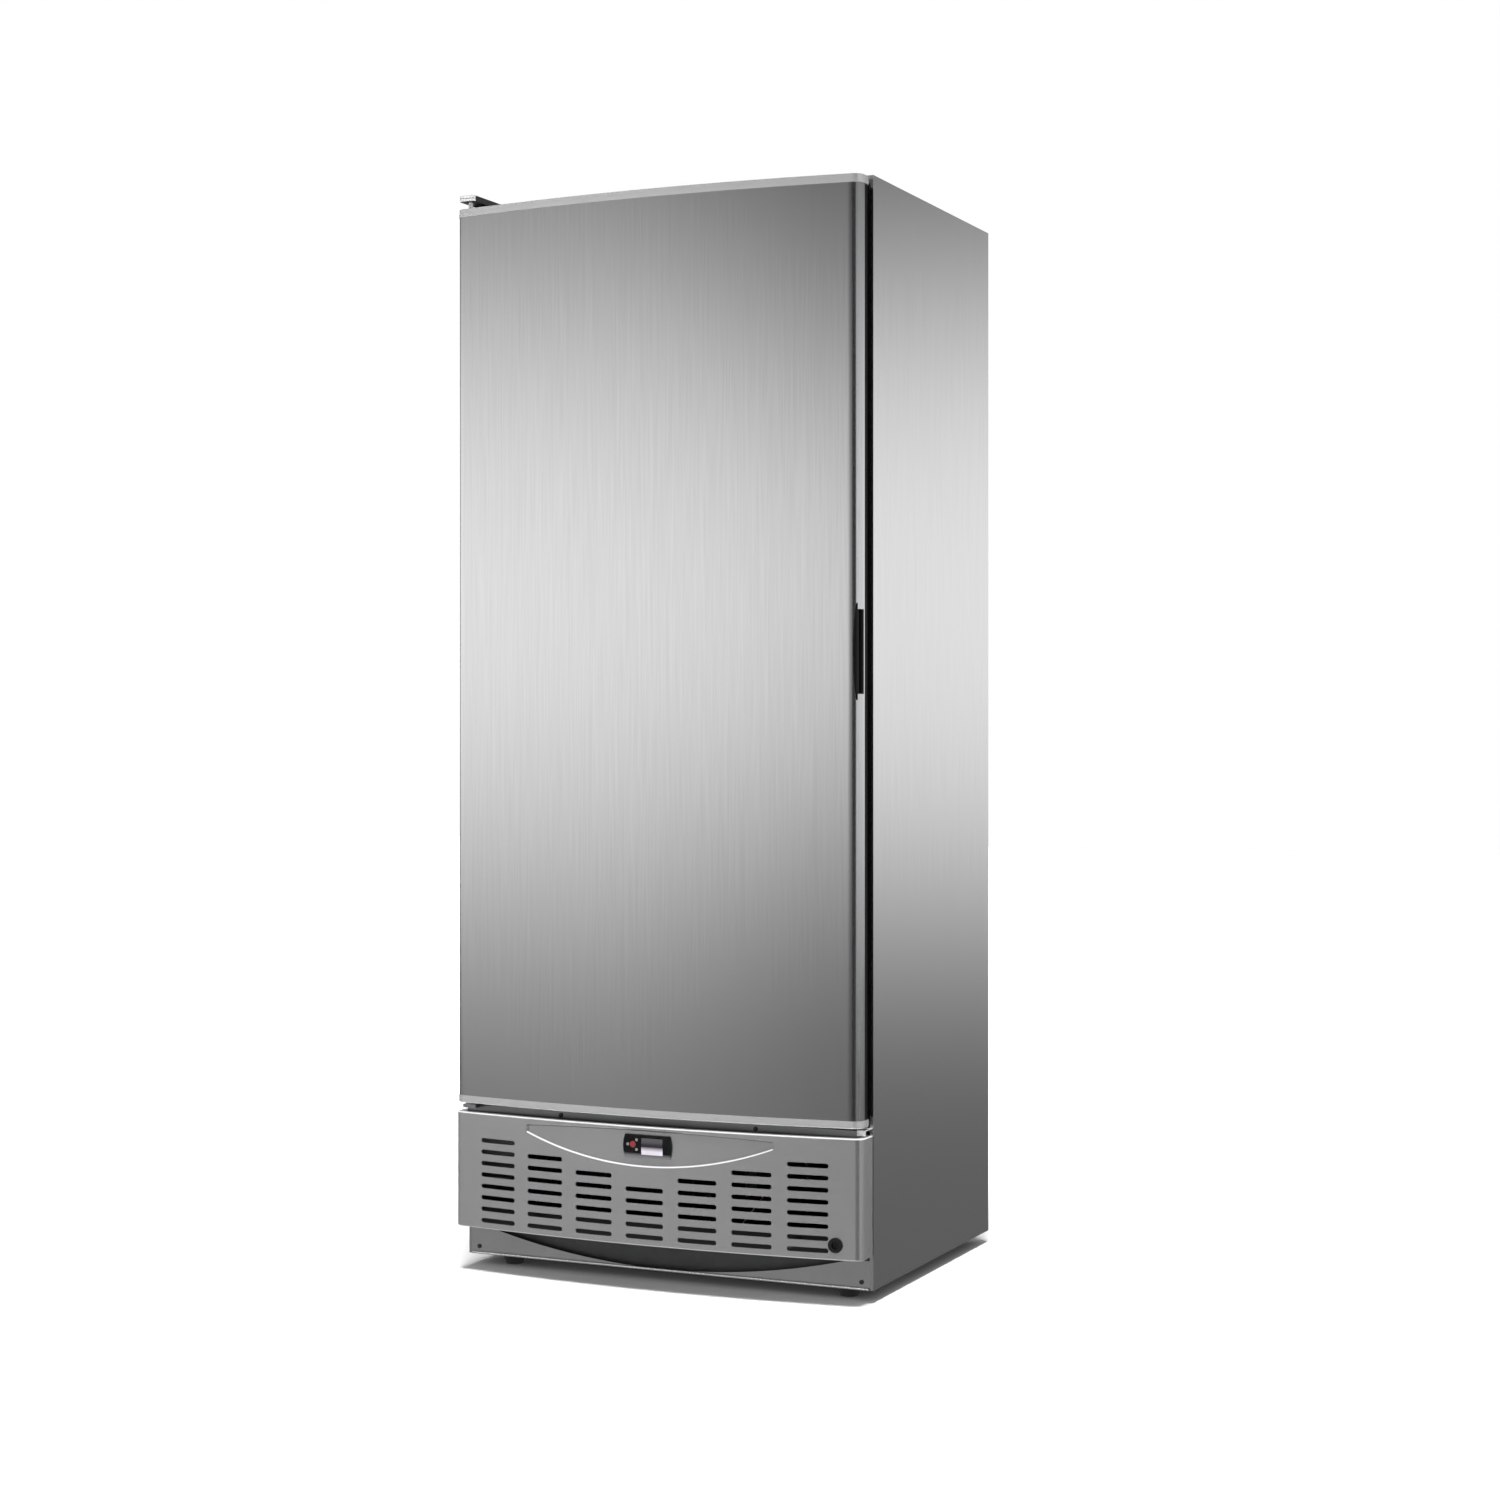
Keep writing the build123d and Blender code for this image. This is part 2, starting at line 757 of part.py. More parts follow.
def grille_bush():
    """Black flanged bush in the lower right corner of the grille."""
    flange = bush_hole_cut(bush_diameter, bush_proud, 0)
    neck = bush_hole_cut(bush_diameter - 4 - 2 * sliding_clearance, bush_proud, 2 * grille_wall)
    keep = bush_hole_cut(bush_diameter, bush_proud + 1, 2 * grille_wall + 1)
    flange = flange - grille_solid(grille_bottom, grille_top, 0, grille_back)
    return ((flange + neck) & keep) - bush_hole_cut(bush_hole, bush_proud + 2, 2 * grille_wall + 2)


def controller_face():
    """Y of the controller's front face and of the recess floor behind it."""
    seat = grille_front + smile_depth
    return seat - controller_proud, seat


def button_places():
    """Centre and diameter of each button on the controller."""
    x = controller_x - controller_width / 2
    return [(x + 15.0, controller_z + 2.5, power_button_diameter),
            (x + 5.5, controller_z + 2.5, button_diameter),
            (x + 22.0, controller_z + 10.5, button_diameter),
            (x + 22.0, controller_z - 6.0, button_diameter)]


def controller_housing():
    """Black bezel in the recess, its body behind, and the wells of the lens and the buttons."""
    face, seat = controller_face()
    seat_curve = controller_width / 2 + abs(controller_x)
    slack = bow_radius - math.sqrt(bow_radius**2 - seat_curve**2)
    bezel = facing(controller_outline(0), face, seat + slack + 1)
    bezel = fillet(bezel.edges().filter_by(Axis.Y, reverse=True).group_by(Axis.Y)[0], 1.0)
    bezel -= grille_solid(grille_bottom, grille_top, smile_depth, grille_back)
    body = facing(Pos(controller_x, controller_z) * Rectangle(controller_body_width, controller_body_height),
                  seat - 1, seat + controller_body_depth)
    bezel += body
    bezel -= facing(Pos(controller_x + lens_offset, controller_z) * Rectangle(lens_width, lens_height),
                    face - 1, face + lens_thickness)
    for x, z, diameter in button_places():
        well = diameter + 2 * sliding_clearance
        bezel -= rod_y(x, face - 1, face + button_length - button_proud + button_travel + sliding_clearance,
                       z, well)
    return bezel


def display_lens():
    """Convex window of the controller display."""
    face, _ = controller_face()
    plate = block(controller_x + lens_offset - lens_width / 2, controller_x + lens_offset + lens_width / 2,
                  face, face + lens_thickness, controller_z - lens_height / 2, controller_z + lens_height / 2)
    crown = 1.0
    radius = (lens_height**2 / 4 + crown**2) / (2 * crown)
    barrel = rod_x(controller_x + lens_offset - lens_width / 2, controller_x + lens_offset + lens_width / 2,
                   face - crown + radius, controller_z, 2 * radius)
    cap = barrel & block(-half_width, half_width, face - crown - 1, face,
                         controller_z - lens_height / 2, controller_z + lens_height / 2)
    return plate + cap


def button(x, z, diameter):
    """One push button, standing proud of the bezel by its own travel and a little more."""
    face, _ = controller_face()
    body = rod_y(x, face - button_proud, face - button_proud + button_length, z, diameter)
    return chamfer(body.edges().group_by(Axis.Y)[0], 0.4)


# ---------------------------------------------------------------- machine bay
def compressor():
    """Welded two-shell compressor on its foot plate, with terminal box and pipe stubs."""
    y = back_y - compressor_from_back
    z0 = tray_top + mount_height
    plate = Pos(compressor_x, y, z0 + compressor_plate / 2) * extrude(
        RectangleRounded(compressor_foot_span_x + 34, compressor_foot_span_y + 34, 14), compressor_plate / 2,
        both=True)
    waist = z0 + compressor_height * compressor_waist
    plan = SlotOverall(compressor_length - 2 * seam_reach, compressor_width - 2 * seam_reach)
    pot = extrude(Pos(0, 0, z0 + compressor_plate) * plan, compressor_height - compressor_plate)
    pot = fillet(pot.edges().group_by(Axis.Z)[-1], compressor_crown)
    pot = fillet(pot.edges().group_by(Axis.Z)[0], compressor_keel)
    seam = Pos(0, 0, waist - seam_height / 2) * SlotOverall(compressor_length, compressor_width)
    pot = Pos(compressor_x, y, 0) * (pot + extrude(seam, seam_height))
    terminal = block(compressor_x - terminal_width / 2, compressor_x + terminal_width / 2,
                     y - compressor_width / 2 - terminal_depth, y - compressor_width / 2 + terminal_depth / 2,
                     z0 + terminal_rise, z0 + terminal_rise + terminal_height)
    discharge, suction = stub_places()
    stub_diameter = pipe_diameter + 2 * stub_wall
    stubs = rod_x(discharge[0], compressor_x, discharge[1], discharge[2], stub_diameter)
    stubs += rod_x(suction[0], compressor_x, suction[1], suction[2], stub_diameter)
    return plate + pot + terminal + stubs


def stub_places():
    """Outer ends of the compressor's discharge and suction stubs."""
    y = back_y - compressor_from_back
    x = compressor_x - compressor_length / 2 - stub_length
    waist = tray_top + mount_height + compressor_height * compressor_waist
    return (x, y, waist - stub_drop), (x, y + stub_offset, waist + stub_rise)


def compressor_mounts():
    """Four rubber grommets between tray and compressor plate."""
    y = back_y - compressor_from_back
    edge = mount_diameter / 2
    neck = edge - mount_groove
    profile = Polyline((0, 0), (edge, 0), (edge, mount_height / 4), (neck, mount_height / 2),
                       (edge, mount_height * 3 / 4), (edge, mount_height), (0, mount_height), close=True)
    mount = revolve(Plane.XZ * make_face(profile), Axis.Z)
    return [Pos(compressor_x + dx, y + dy, tray_top) * mount
            for dx in (-compressor_foot_span_x / 2, compressor_foot_span_x / 2)
            for dy in (-compressor_foot_span_y / 2, compressor_foot_span_y / 2)]


def fin_pack(x0, x1, y0, y1, z0, z1, pitch, core):
    """Fins on a common core: one comb-shaped plan, drawn up to the full height."""
    count = int((x1 - x0 - fin_thickness) / pitch)
    start = (x0 + x1) / 2 - count * pitch / 2
    middle = (y0 + y1) / 2
    comb = Pos((x0 + x1) / 2, middle) * Rectangle(count * pitch, core)
    comb += [Pos(start + n * pitch, middle) * Rectangle(fin_thickness, y1 - y0) for n in range(count + 1)]
    return extrude(Pos(0, 0, z0) * comb, z1 - z0)


def pack_half(width, pitch):
    """Half the width of a fin pack that fits whole pitches into the width."""
    count = int((width - fin_thickness) / pitch)
    return count * pitch / 2 + fin_thickness / 2


def return_bends(x, outward, y, z0, pitch, count, diameter):
    """Hairpin bends that join the coil tubes at one end."""
    bends = []
    for n in range(count):
        low = z0 + n * 2 * pitch
        section = Plane(origin=(x, y, low), z_dir=(outward, 0, 0)) * Circle(diameter / 2)
        bends.append(revolve(section, Axis((x, y, low + pitch / 2), (0, -outward, 0)), 180))
    return bends


def condenser():
    """Finned coil behind the grille: fins, end plates and hairpin bends."""
    x0 = condenser_x - condenser_width / 2
    x1 = condenser_x + condenser_width / 2
    y0 = front_y + condenser_from_front
    y1 = y0 + condenser_depth
    z0 = tray_top
    z1 = z0 + condenser_height
    coil = fin_pack(x0, x1, y0 + fin_setback, y1 - fin_setback, z0 + fin_trim, z1 - fin_trim, fin_pitch, fin_core)
    edge = pack_half(condenser_width, fin_pitch)
    outside = edge + coil_plate
    coil += block(condenser_x - outside, condenser_x - edge, y0, y1, z0, z1)
    coil += block(condenser_x + edge, condenser_x + outside, y0, y1, z0, z1)
    low, pitch = coil_rows_z()
    middle = (y0 + y1) / 2
    pairs = coil_rows // 2
    coil += return_bends(condenser_x - outside, -1, middle, low, pitch, pairs, coil_tube)
    coil += return_bends(condenser_x + outside, 1, middle, low + pitch, pitch, pairs, coil_tube)
    return coil


def coil_rows_z():
    """Height of the condenser's lowest tube and the pitch of its tubes."""
    pitch = (condenser_height - 2 * coil_margin) / coil_rows
    return tray_top + coil_margin + pitch / 2, pitch


def shroud_span():
    """Front and back of the shroud behind the condenser."""
    y0 = front_y + condenser_from_front + condenser_depth
    return y0, y0 + shroud_depth


def fan_centre(height):
    """Height of the condenser fan's axis."""
    return tray_top + height / 2


def fan_shroud():
    """Open box of sheet behind the condenser, with a round fan opening and its ring."""
    y0, y1 = shroud_span()
    x0 = condenser_x - condenser_width / 2
    x1 = condenser_x + condenser_width / 2
    z0 = tray_top
    z1 = z0 + condenser_height
    shell = block(x0, x1, y0, y1, z0, z1)
    shell -= block(x0 + shroud_sheet, x1 - shroud_sheet, y0 - 1, y1 - shroud_sheet,
                   z0 + shroud_sheet, z1 - shroud_sheet)
    axis_z = fan_centre(condenser_height)
    ring = rod_y(condenser_x, y1 - shroud_sheet, y1 + fan_ring_depth, axis_z, fan_opening + 2 * shroud_sheet)
    shell += ring
    return shell - rod_y(condenser_x, y0, y1 + fan_ring_depth + 1, axis_z, fan_opening)


def motor_on_arms(x, z, ring_y, motor_y, diameter, depth, opening, tail):
    """Fan motor with three arms that reach out to a fixing face behind the fan opening."""
    motor = rod_y(x, motor_y, motor_y + depth, z, diameter)
    motor = chamfer(motor.edges().group_by(Axis.Y)[-1], motor_chamfer)
    shaft = rod_y(x, motor_y - tail, motor_y, z, shaft_diameter)
    body = motor + shaft
    radius = opening / 2 + arm_width / 2 + 3
    arm_y = motor_y + depth / 2
    for n in range(3):
        angle = 90 + n * 120
        strut = block(diameter / 2 - 2, radius + arm_width / 2, arm_y, arm_y + arm_thickness,
                      -arm_width / 2, arm_width / 2)
        leg = block(radius - arm_width / 2, radius + arm_width / 2, ring_y, arm_y,
                    -arm_width / 2, arm_width / 2)
        body += Pos(x, 0, z) * Rot(0, -angle, 0) * (strut + leg)
    return body


def fan_blade(x, y, z, diameter, hub_diameter, hub_depth, blades):
    """Axial fan: a cup hub and curved blades set at a pitch."""
    hub = rod_y(0, -hub_depth / 2, hub_depth / 2, 0, hub_diameter)
    bore = rod_y(0, -hub_depth / 2 + 3, hub_depth / 2 + 1, 0, shaft_diameter + 2 * sliding_clearance)
    span = diameter / 2 - hub_diameter / 2 + 4
    root = hub_diameter * 0.46
    tip = diameter * 0.26
    mid_radius = hub_diameter / 2 - 4 + span / 2
    fan = hub
    outline = Polyline((-span / 2, -root / 2), (span / 2, -tip / 2), (span / 2, tip / 2),
                       (-span / 2, root / 2), close=True)
    paddle = fillet(make_face(outline).vertices().group_by(Axis.X)[-1], tip / 4)
    paddle = Plane.XZ * paddle
    for n in range(blades):
        blade = extrude(paddle, blade_thickness / 2, both=True)
        blade = Pos(mid_radius, 0, 0) * Rot(blade_pitch_angle, 0, 0) * blade
        fan += Rot(0, n * 360 / blades, 0) * blade
    keep = rod_y(0, -hub_depth, hub_depth, 0, diameter)
    fan = (fan & keep) - bore
    return Pos(x, y, z) * fan


def condenser_fan_motor():
    """Motor of the condenser fan, its arms screwed to the back of the shroud."""
    _, y1 = shroud_span()
    motor_y = y1 + fan_ring_depth + motor_gap
    z = fan_centre(condenser_height)
    return motor_on_arms(condenser_x, z, y1, motor_y, motor_diameter, motor_depth,
                         fan_opening, motor_y - condenser_fan_y())


def condenser_fan_y():
    """Middle plane of the condenser fan, inside its ring."""
    _, y1 = shroud_span()
    return y1 + fan_ring_depth / 2


def condenser_fan_blade():
    """Blade wheel of the condenser fan."""
    return fan_blade(condenser_x, condenser_fan_y(), fan_centre(condenser_height), fan_diameter,
                     fan_hub_diameter, fan_hub_depth, blade_count)


def drip_tray():
    """Open tray on the bay floor that catches and evaporates the defrost water."""
    x0 = drip_tray_x - drip_tray_width / 2
    x1 = drip_tray_x + drip_tray_width / 2
    y1 = back_y - drip_tray_from_back
    y0 = y1 - drip_tray_depth
    z1 = tray_top + drip_tray_height
    tray = block(x0, x1, y0, y1, tray_top, z1)
    tray = fillet(tray.edges().filter_by(Axis.Z), 12.0)
    well = block(x0 + drip_tray_wall, x1 - drip_tray_wall, y0 + drip_tray_wall, y1 - drip_tray_wall,
                 tray_top + drip_tray_wall, z1 + 1)
    well = fillet(well.edges().filter_by(Axis.Z), 12.0 - drip_tray_wall)
    return tray - well


def drain_spout():
    """Drain from under the liner's strainer through the foam, bent over to the evaporation tray."""
    y = inner_back - drain_diameter
    z = inner_floor - liner_wall
    collar = rod_z(0, y, z - drain_collar_height, z, drain_diameter + 2 * drain_collar)
    straight = rod_z(0, y, bay_top - drain_lead, z, drain_diameter)
    end_x = drip_tray_x + drip_tray_width / 2 - drain_tray_inset
    end_z = tray_top + drip_tray_wall + drain_above_tray
    tail = pipe([(0, y, bay_top - drain_lead), (0, y, bay_top - drain_elbow_drop),
                 (end_x, y, bay_top - drain_run_drop), (end_x, y, end_z)],
                [drain_bend, drain_wide_bend], drain_diameter)
    bore = rod_z(0, y, bay_top - drain_lead, z + 1, drain_bore)
    return collar + straight + tail - bore


def electrical_box():
    """Closed box with the terminals, on the right wall of the bay."""
    wall = half_width - sheet
    x0 = wall - box_width
    y0 = front_y + box_from_front
    z0 = base_z + box_rise
    body = block(x0, wall, y0, y0 + box_depth, z0, z0 + box_height)
    return chamfer(body.edges().group_by(Axis.X)[0], 4.0)


def bay_rear_cover():
    """Rear sheet of the machine bay: air slots, the fan's outlet and the mains cable's gland."""
    edge = half_width - rear_return
    y1 = back_y
    y0 = y1 - sheet
    z0 = base_z + sheet
    cover = block(-edge, edge, y0, y1, z0, bay_top + cover_overlap)
    top = bay_top - cover_top_gap
    bottom = tray_top + drip_tray_height + outlet_above_tray
    outlet = Pos(outlet_x, (bottom + top) / 2) * RectangleRounded(outlet_width, top - bottom, outlet_radius)
    cover -= facing(outlet, y0 - 1, y1 + 1)
    slot = SlotOverall(cover_slot_length, cover_slot_height)
    first = top - cover_slot_height / 2
    slots = Sketch() + [Pos(compressor_x, first - n * cover_slot_pitch) * slot for n in range(cover_slots)]
    cover -= facing(slots, y0 - 1, y1 + 1)
    z = base_z + gland_rise
    body = rod_y(gland_x, y1 - gland_length / 2, y1 + gland_length / 2, z, gland_diameter)
    nut = facing(Pos(gland_x, z) * RegularPolygon(gland_diameter * 0.62, 6, major_radius=False),
                 y1, y1 + gland_length / 3)
    bore = rod_y(gland_x, y1 - gland_length, y1 + gland_length, z, gland_hole)
    return cover + body + nut - bore


def refrigerant_pipes():
    """Copper pipes between compressor, condenser and the cold side."""
    (x, y, z), (x_suction, y_suction, z_suction) = stub_places()
    x_drop = condenser_x + condenser_width / 2 + pipe_clear
    y_coil = front_y + condenser_from_front + condenser_depth / 2
    coil_z, _ = coil_rows_z()
    coil_x = condenser_x + pack_half(condenser_width, fin_pitch) + coil_plate
    discharge = pipe([(x, y, z), (x - pipe_lead, y, z), (x - pipe_lead, y - 3 * pipe_lead, z),
                      (x_drop, y_coil, coil_z), (coil_x, y_coil, coil_z)],
                     [pipe_bend, pipe_wide_bend, pipe_bend], pipe_diameter)
    suction = pipe([(x_suction, y_suction, z_suction), (x_suction - pipe_lead, y_suction, z_suction),
                    (x_suction - pipe_lead, y_suction, bay_top - sheet)], [pipe_bend], pipe_diameter)
    return [discharge, suction]


# ---------------------------------------------------------------- cold side
def cover_span():
    """Box taken up by the evaporator cover under the ceiling of the liner."""
    x = inner_half - pilaster_depth - 6
    return x, inner_back - cover_depth, inner_back, inner_top - cover_height, inner_top


def evaporator_cover():
    """Sheet hood over the evaporator: slanted front with the fan opening, open at the back below."""
    x, y0, y1, z0, z1 = cover_span()
    outer = block(-x, x, y0, y1, z0, z1)
    inner = block(-x + cover_sheet, x - cover_sheet, y0 + cover_sheet, y1 + 1, z0 + cover_sheet, z1 + 1)
    shell = outer - inner
    shell = chamfer_front(shell, x, y0, z0)
    middle = (z0 + z1) / 2
    shell -= rod_y(0, y0 - 1, y0 + cover_sheet + 1, middle, cold_fan_opening)
    start = -(intake_count - 1) / 2
    intake = Sketch() + [Pos((start + n) * intake_pitch, y1 - intake_from_back) * SlotOverall(
        intake_length, intake_width) for n in range(intake_count)]
    shell -= extrude(Pos(0, 0, z0 - 1) * intake, cover_sheet + 2)
    return shell


def chamfer_front(shell, x, y0, z0):
    """Drip edge: the hood's lower front corner is folded at an angle."""
    drop = 10.0
    wedge = Polyline((y0 - 1, z0 - 1), (y0 + drop, z0 - 1), (y0 - 1, z0 + drop), close=True)
    cut = extrude(Plane.YZ * make_face(wedge), x + 1, both=True)
    fold = Polyline((y0, z0 + drop - 1), (y0 + drop - 1, z0), (y0 + drop + 2, z0),
                    (y0 + drop + 2, z0 + cover_sheet), (y0 + cover_sheet, z0 + drop + 2), (y0, z0 + drop + 2),
                    close=True)
    return shell - cut + extrude(Plane.YZ * make_face(fold), x, both=True)


def evaporator():
    """Finned cooling coil hung under the liner's ceiling."""
    y1 = inner_back - evaporator_from_back
    y0 = y1 - evaporator_depth
    z1 = inner_top
    z0 = z1 - evaporator_height
    x = evaporator_width / 2
    coil = fin_pack(-x, x, y0 + fin_setback, y1 - fin_setback, z0 + fin_trim, z1 - fin_trim,
                    evaporator_fin_pitch, evaporator_depth / 3)
    edge = pack_half(evaporator_width, evaporator_fin_pitch)
    outside = edge + coil_plate
    coil += block(-outside, -edge, y0, y1, z0, z1)
    coil += block(edge, outside, y0, y1, z0, z1)
    middle = (y0 + y1) / 2
    low = z0 + 2 * coil_margin
    coil += return_bends(-outside, -1, middle, low, evaporator_tube_pitch, 1, coil_tube)
    coil += return_bends(outside, 1, middle, low + evaporator_tube_pitch, evaporator_tube_pitch, 1, coil_tube)
    return coil


def cold_fan_axis():
    """Place of the evaporator fan behind the opening of the hood."""
    _, y0, _, z0, z1 = cover_span()
    return y0 + cover_sheet + cold_fan_setback, (z0 + z1) / 2


def evaporator_fan_motor():
    """Motor of the evaporator fan on three arms fixed to the hood's front."""
    _, y0, _, _, _ = cover_span()
    y, z = cold_fan_axis()
    motor_y = y + cold_motor_gap
    return motor_on_arms(0, z, y0 + cover_sheet, motor_y, cold_motor_diameter, cold_motor_depth,
                         cold_fan_opening - 6, motor_y - y)


def evaporator_fan_blade():
    """Blade wheel of the evaporator fan."""
    y, z = cold_fan_axis()
    return fan_blade(0, y, z, cold_fan_diameter, cold_hub_diameter, cold_hub_depth, blade_count)


def shelf_levels():
    """Height of each shelf's top."""
    return [inner_floor + shelf_pitch * (n + 1) for n in range(shelf_count)]


def pilaster_places():
    """Side and Y of the four shelf rails."""
    y0 = liner_front + pilaster_inset
    y1 = y0 + shelf_depth - pilaster_inset
    return [(side, y) for side in (-1, 1) for y in (y0, y1)]


def shelf_pilasters():
    """Four punched rails on the side walls of the liner."""
    low = inner_floor + liner_radius
    high = inner_floor + shelf_pitch * shelf_count + 90
    rail = block(inner_half - pilaster_depth, inner_half, -pilaster_width / 2, pilaster_width / 2, low, high)
    rail -= block(inner_half - pilaster_depth + pilaster_sheet, inner_half + 1,
                  -pilaster_width / 2 + pilaster_sheet, pilaster_width / 2 - pilaster_sheet, low - 1, high + 1)
    count = int((high - low - pilaster_slot_pitch) / pilaster_slot_pitch)
    first = inner_floor + pilaster_slot_pitch
    for n in range(count + 1):
        z = first + n * pilaster_slot_pitch - shelf_rod
        rail -= block(inner_half - pilaster_depth - 1, inner_half - pilaster_depth + pilaster_sheet + 1,
                      -pilaster_slot_width / 2, pilaster_slot_width / 2,
                      z - pilaster_slot_height, z)
    other = mirror(rail, about=Plane.YZ)
    return [Pos(0, y, 0) * (rail if side > 0 else other) for side, y in pilaster_places()]


def shelf_clips():
    """Clips hooked into the rails, one under each corner of each shelf."""
    group = []
    face = inner_half - pilaster_depth
    for level in shelf_levels():
        top = level - shelf_rod
        seat = block(face - clip_depth, face, -clip_width / 2, clip_width / 2, top - clip_height, top)
        tongue_half = pilaster_slot_width / 2 - sliding_clearance
        tongue = block(face, face + pilaster_sheet + 2, -tongue_half, tongue_half, top - clip_height + 2, top - 1)
        clip = seat + tongue
        other = mirror(clip, about=Plane.YZ)
        group += [Pos(0, y, 0) * (clip if side > 0 else other) for side, y in pilaster_places()]
    return group


def wire_shelf(level):
    """Welded wire shelf: two long rods at the sides, three cross rods and wires on top of them."""
    x = inner_half - pilaster_depth - sliding_clearance
    y0 = liner_front + shelf_front_gap
    y1 = y0 + shelf_depth
    z1 = level
    z0 = level - shelf_rod
    seat = z1 - wire
    frame = block(-x, -x + shelf_rod, y0, y1, z0, z1)
    frame += block(x - shelf_rod, x, y0, y1, z0, z1)
    for y in (y0, (y0 + y1) / 2 - shelf_rod / 2, y1 - shelf_rod):
        frame += block(-x + shelf_rod, x - shelf_rod, y, y + shelf_rod, z0, seat)
    count = int((2 * x - 2 * shelf_rod) / wire_pitch)
    first = -count * wire_pitch / 2
    for n in range(count + 1):
        at = first + n * wire_pitch
        frame += block(at - wire / 2, at + wire / 2, y0, y1, seat, z1)
    return frame


# ---------------------------------------------------------------- door
def handle_lens(grow):
    """Front view of the handle in the skin: straight at the trim, bulging towards the door's middle."""
    half = handle_height / 2 + grow
    end = door_half - handle_end_width - grow
    outline = [
        Line((trim_plane, -half), (trim_plane, half)),
        Line((trim_plane, half), (end, half)),
        ThreePointArc((end, half), (end - handle_bulge, 0), (end, -half)),
        Line((end, -half), (trim_plane, -half)),
    ]
    return Pos(0, handle_centre_z) * make_face(Wire(outline))


def handle_rear():
    """Y of the insert's rear face, a lip's width in front of the door's rear frame."""
    return frame_front - handle_rear_lip


def slot_span():
    """Front and back of the finger slot, and half its height."""
    back = handle_rear() - handle_rim
    return back - pocket_slot_width, back, handle_height / 2 - pocket_slot_inset


def slot_room(x0, x1, grow):
    """The finger slot's own block, or a wall's width more all round, up to the insert's rear face."""
    y0, y1, half = slot_span()
    rear = y1 if grow == 0 else handle_rear()
    return block(x0, x1, y0 - grow, rear, handle_centre_z - half - grow, handle_centre_z + half + grow)


def handle_window(x0, rim):
    """Room over the finger slot and a rim at both its ends, back to the insert's rear face."""
    _, _, half = slot_span()
    half += rim
    return block(x0, cap_half + 1, door_front, handle_rear(), handle_centre_z - half, handle_centre_z + half)


def handle_lens_prism(grow):
    """The lens drawn back from the door's front to the insert's rear face."""
    return facing(handle_lens(grow), door_front - 1, handle_rear())


def handle_space():
    """Room that the insert takes in the door: lens, notch and pocket."""
    pocket = slot_room(door_half - pocket_reach, trim_plane, pocket_wall)
    return handle_lens_prism(0) + handle_window(trim_plane, handle_rim) + pocket


def handle_pocket():
    """Black insert in the door's free edge: a scooped flank in front of a deep finger slot."""
    body = handle_space() & door_solid(skin_bottom, skin_top, 0, door_back)
    hollow = handle_lens_prism(-handle_rim) + handle_window(trim_plane - handle_rim, 0)
    scoop = hollow & block(0, cap_half + 1, door_front - 1, slot_span()[1], skin_bottom, skin_top)
    scoop -= door_solid(skin_bottom, skin_top, handle_scoop, door_back)
    slot = slot_room(door_half - pocket_reach + pocket_wall, cap_half + 1, 0)
    return body - scoop - slot


def door_shell_band(inset_out):
    """Hollow skin of the door between its two caps."""
    outer = door_solid(skin_bottom, skin_top, inset_out, frame_front)
    return outer - door_solid(skin_bottom - 1, skin_top + 1, door_shell, frame_front + 1)


def door_skin():
    """Bowed stainless sheet between the two side trims."""
    band = door_shell_band(0) & block(-trim_plane, trim_plane, door_front - 1, frame_front,
                                      skin_bottom, skin_top)
    return band - handle_lens_prism(0)


def door_side_trims():
    """Two upright trims that round the door's edges and hold the sheet."""
    band = door_shell_band(-trim_proud)
    right = band & block(trim_plane, cap_half, door_front - 1, frame_front, skin_bottom, skin_top)
    left = mirror(right, about=Plane.YZ)
    return [left, right - handle_window(trim_plane, handle_rim)]


def cap(z0, z1):
    """Moulded end cap over the full thickness of the door, with rounded rear corners."""
    body = bow_solid(cap_half, door_front - cap_proud, door_corner_radius + cap_proud, door_back, z0, z1)
    rear = body.edges().filter_by(Axis.Z).group_by(Axis.Y)[-1]
    return fillet(rear, rear_corner_radius) - pin_socket()


def door_top_cap():
    """Top cap with a stepped ridge along its lower edge."""
    lower = cap(skin_top, door_top - top_cap_height / 2)
    upper = bow_solid(cap_half - 1, door_front - cap_proud + 1, door_corner_radius, door_back,
                      door_top - top_cap_height / 2, door_top)
    rear = upper.edges().filter_by(Axis.Z).group_by(Axis.Y)[-1]
    upper = fillet(rear, rear_corner_radius)
    return lower + upper - pin_socket()


def door_bottom_cap():
    """Bottom cap with an eased lower edge."""
    body = cap(door_bottom, skin_bottom)
    low = body.edges().group_by(Axis.Z)[0].filter_by(lambda e: e.length > 100 and e.center().Y < frame_front)
    return chamfer(low, 1.5)


def rear_bulge(grow, y1):
    """Raised field in the middle of the door's inner side."""
    half = gasket_inner - inner_panel_margin - grow
    return block(-half, half, door_back - 1, y1,
                 gasket_low + gasket_width + inner_panel_margin + grow,
                 gasket_high - gasket_width - inner_panel_margin - grow)


def door_frame():
    """Black moulded frame behind the skin; it carries the gasket."""
    half = door_half - 1.0
    ring = sheet_ring(half, gasket_inner - 4, skin_bottom, skin_top,
                      gasket_low + gasket_width + 4, gasket_high - gasket_width - 4, frame_front, door_back)
    rear = ring.edges().filter_by(Axis.Z).group_by(Axis.Y)[-1].filter_by(lambda e: abs(e.center().X) > half - 1)
    return fillet(rear, rear_corner_radius) - pin_socket()


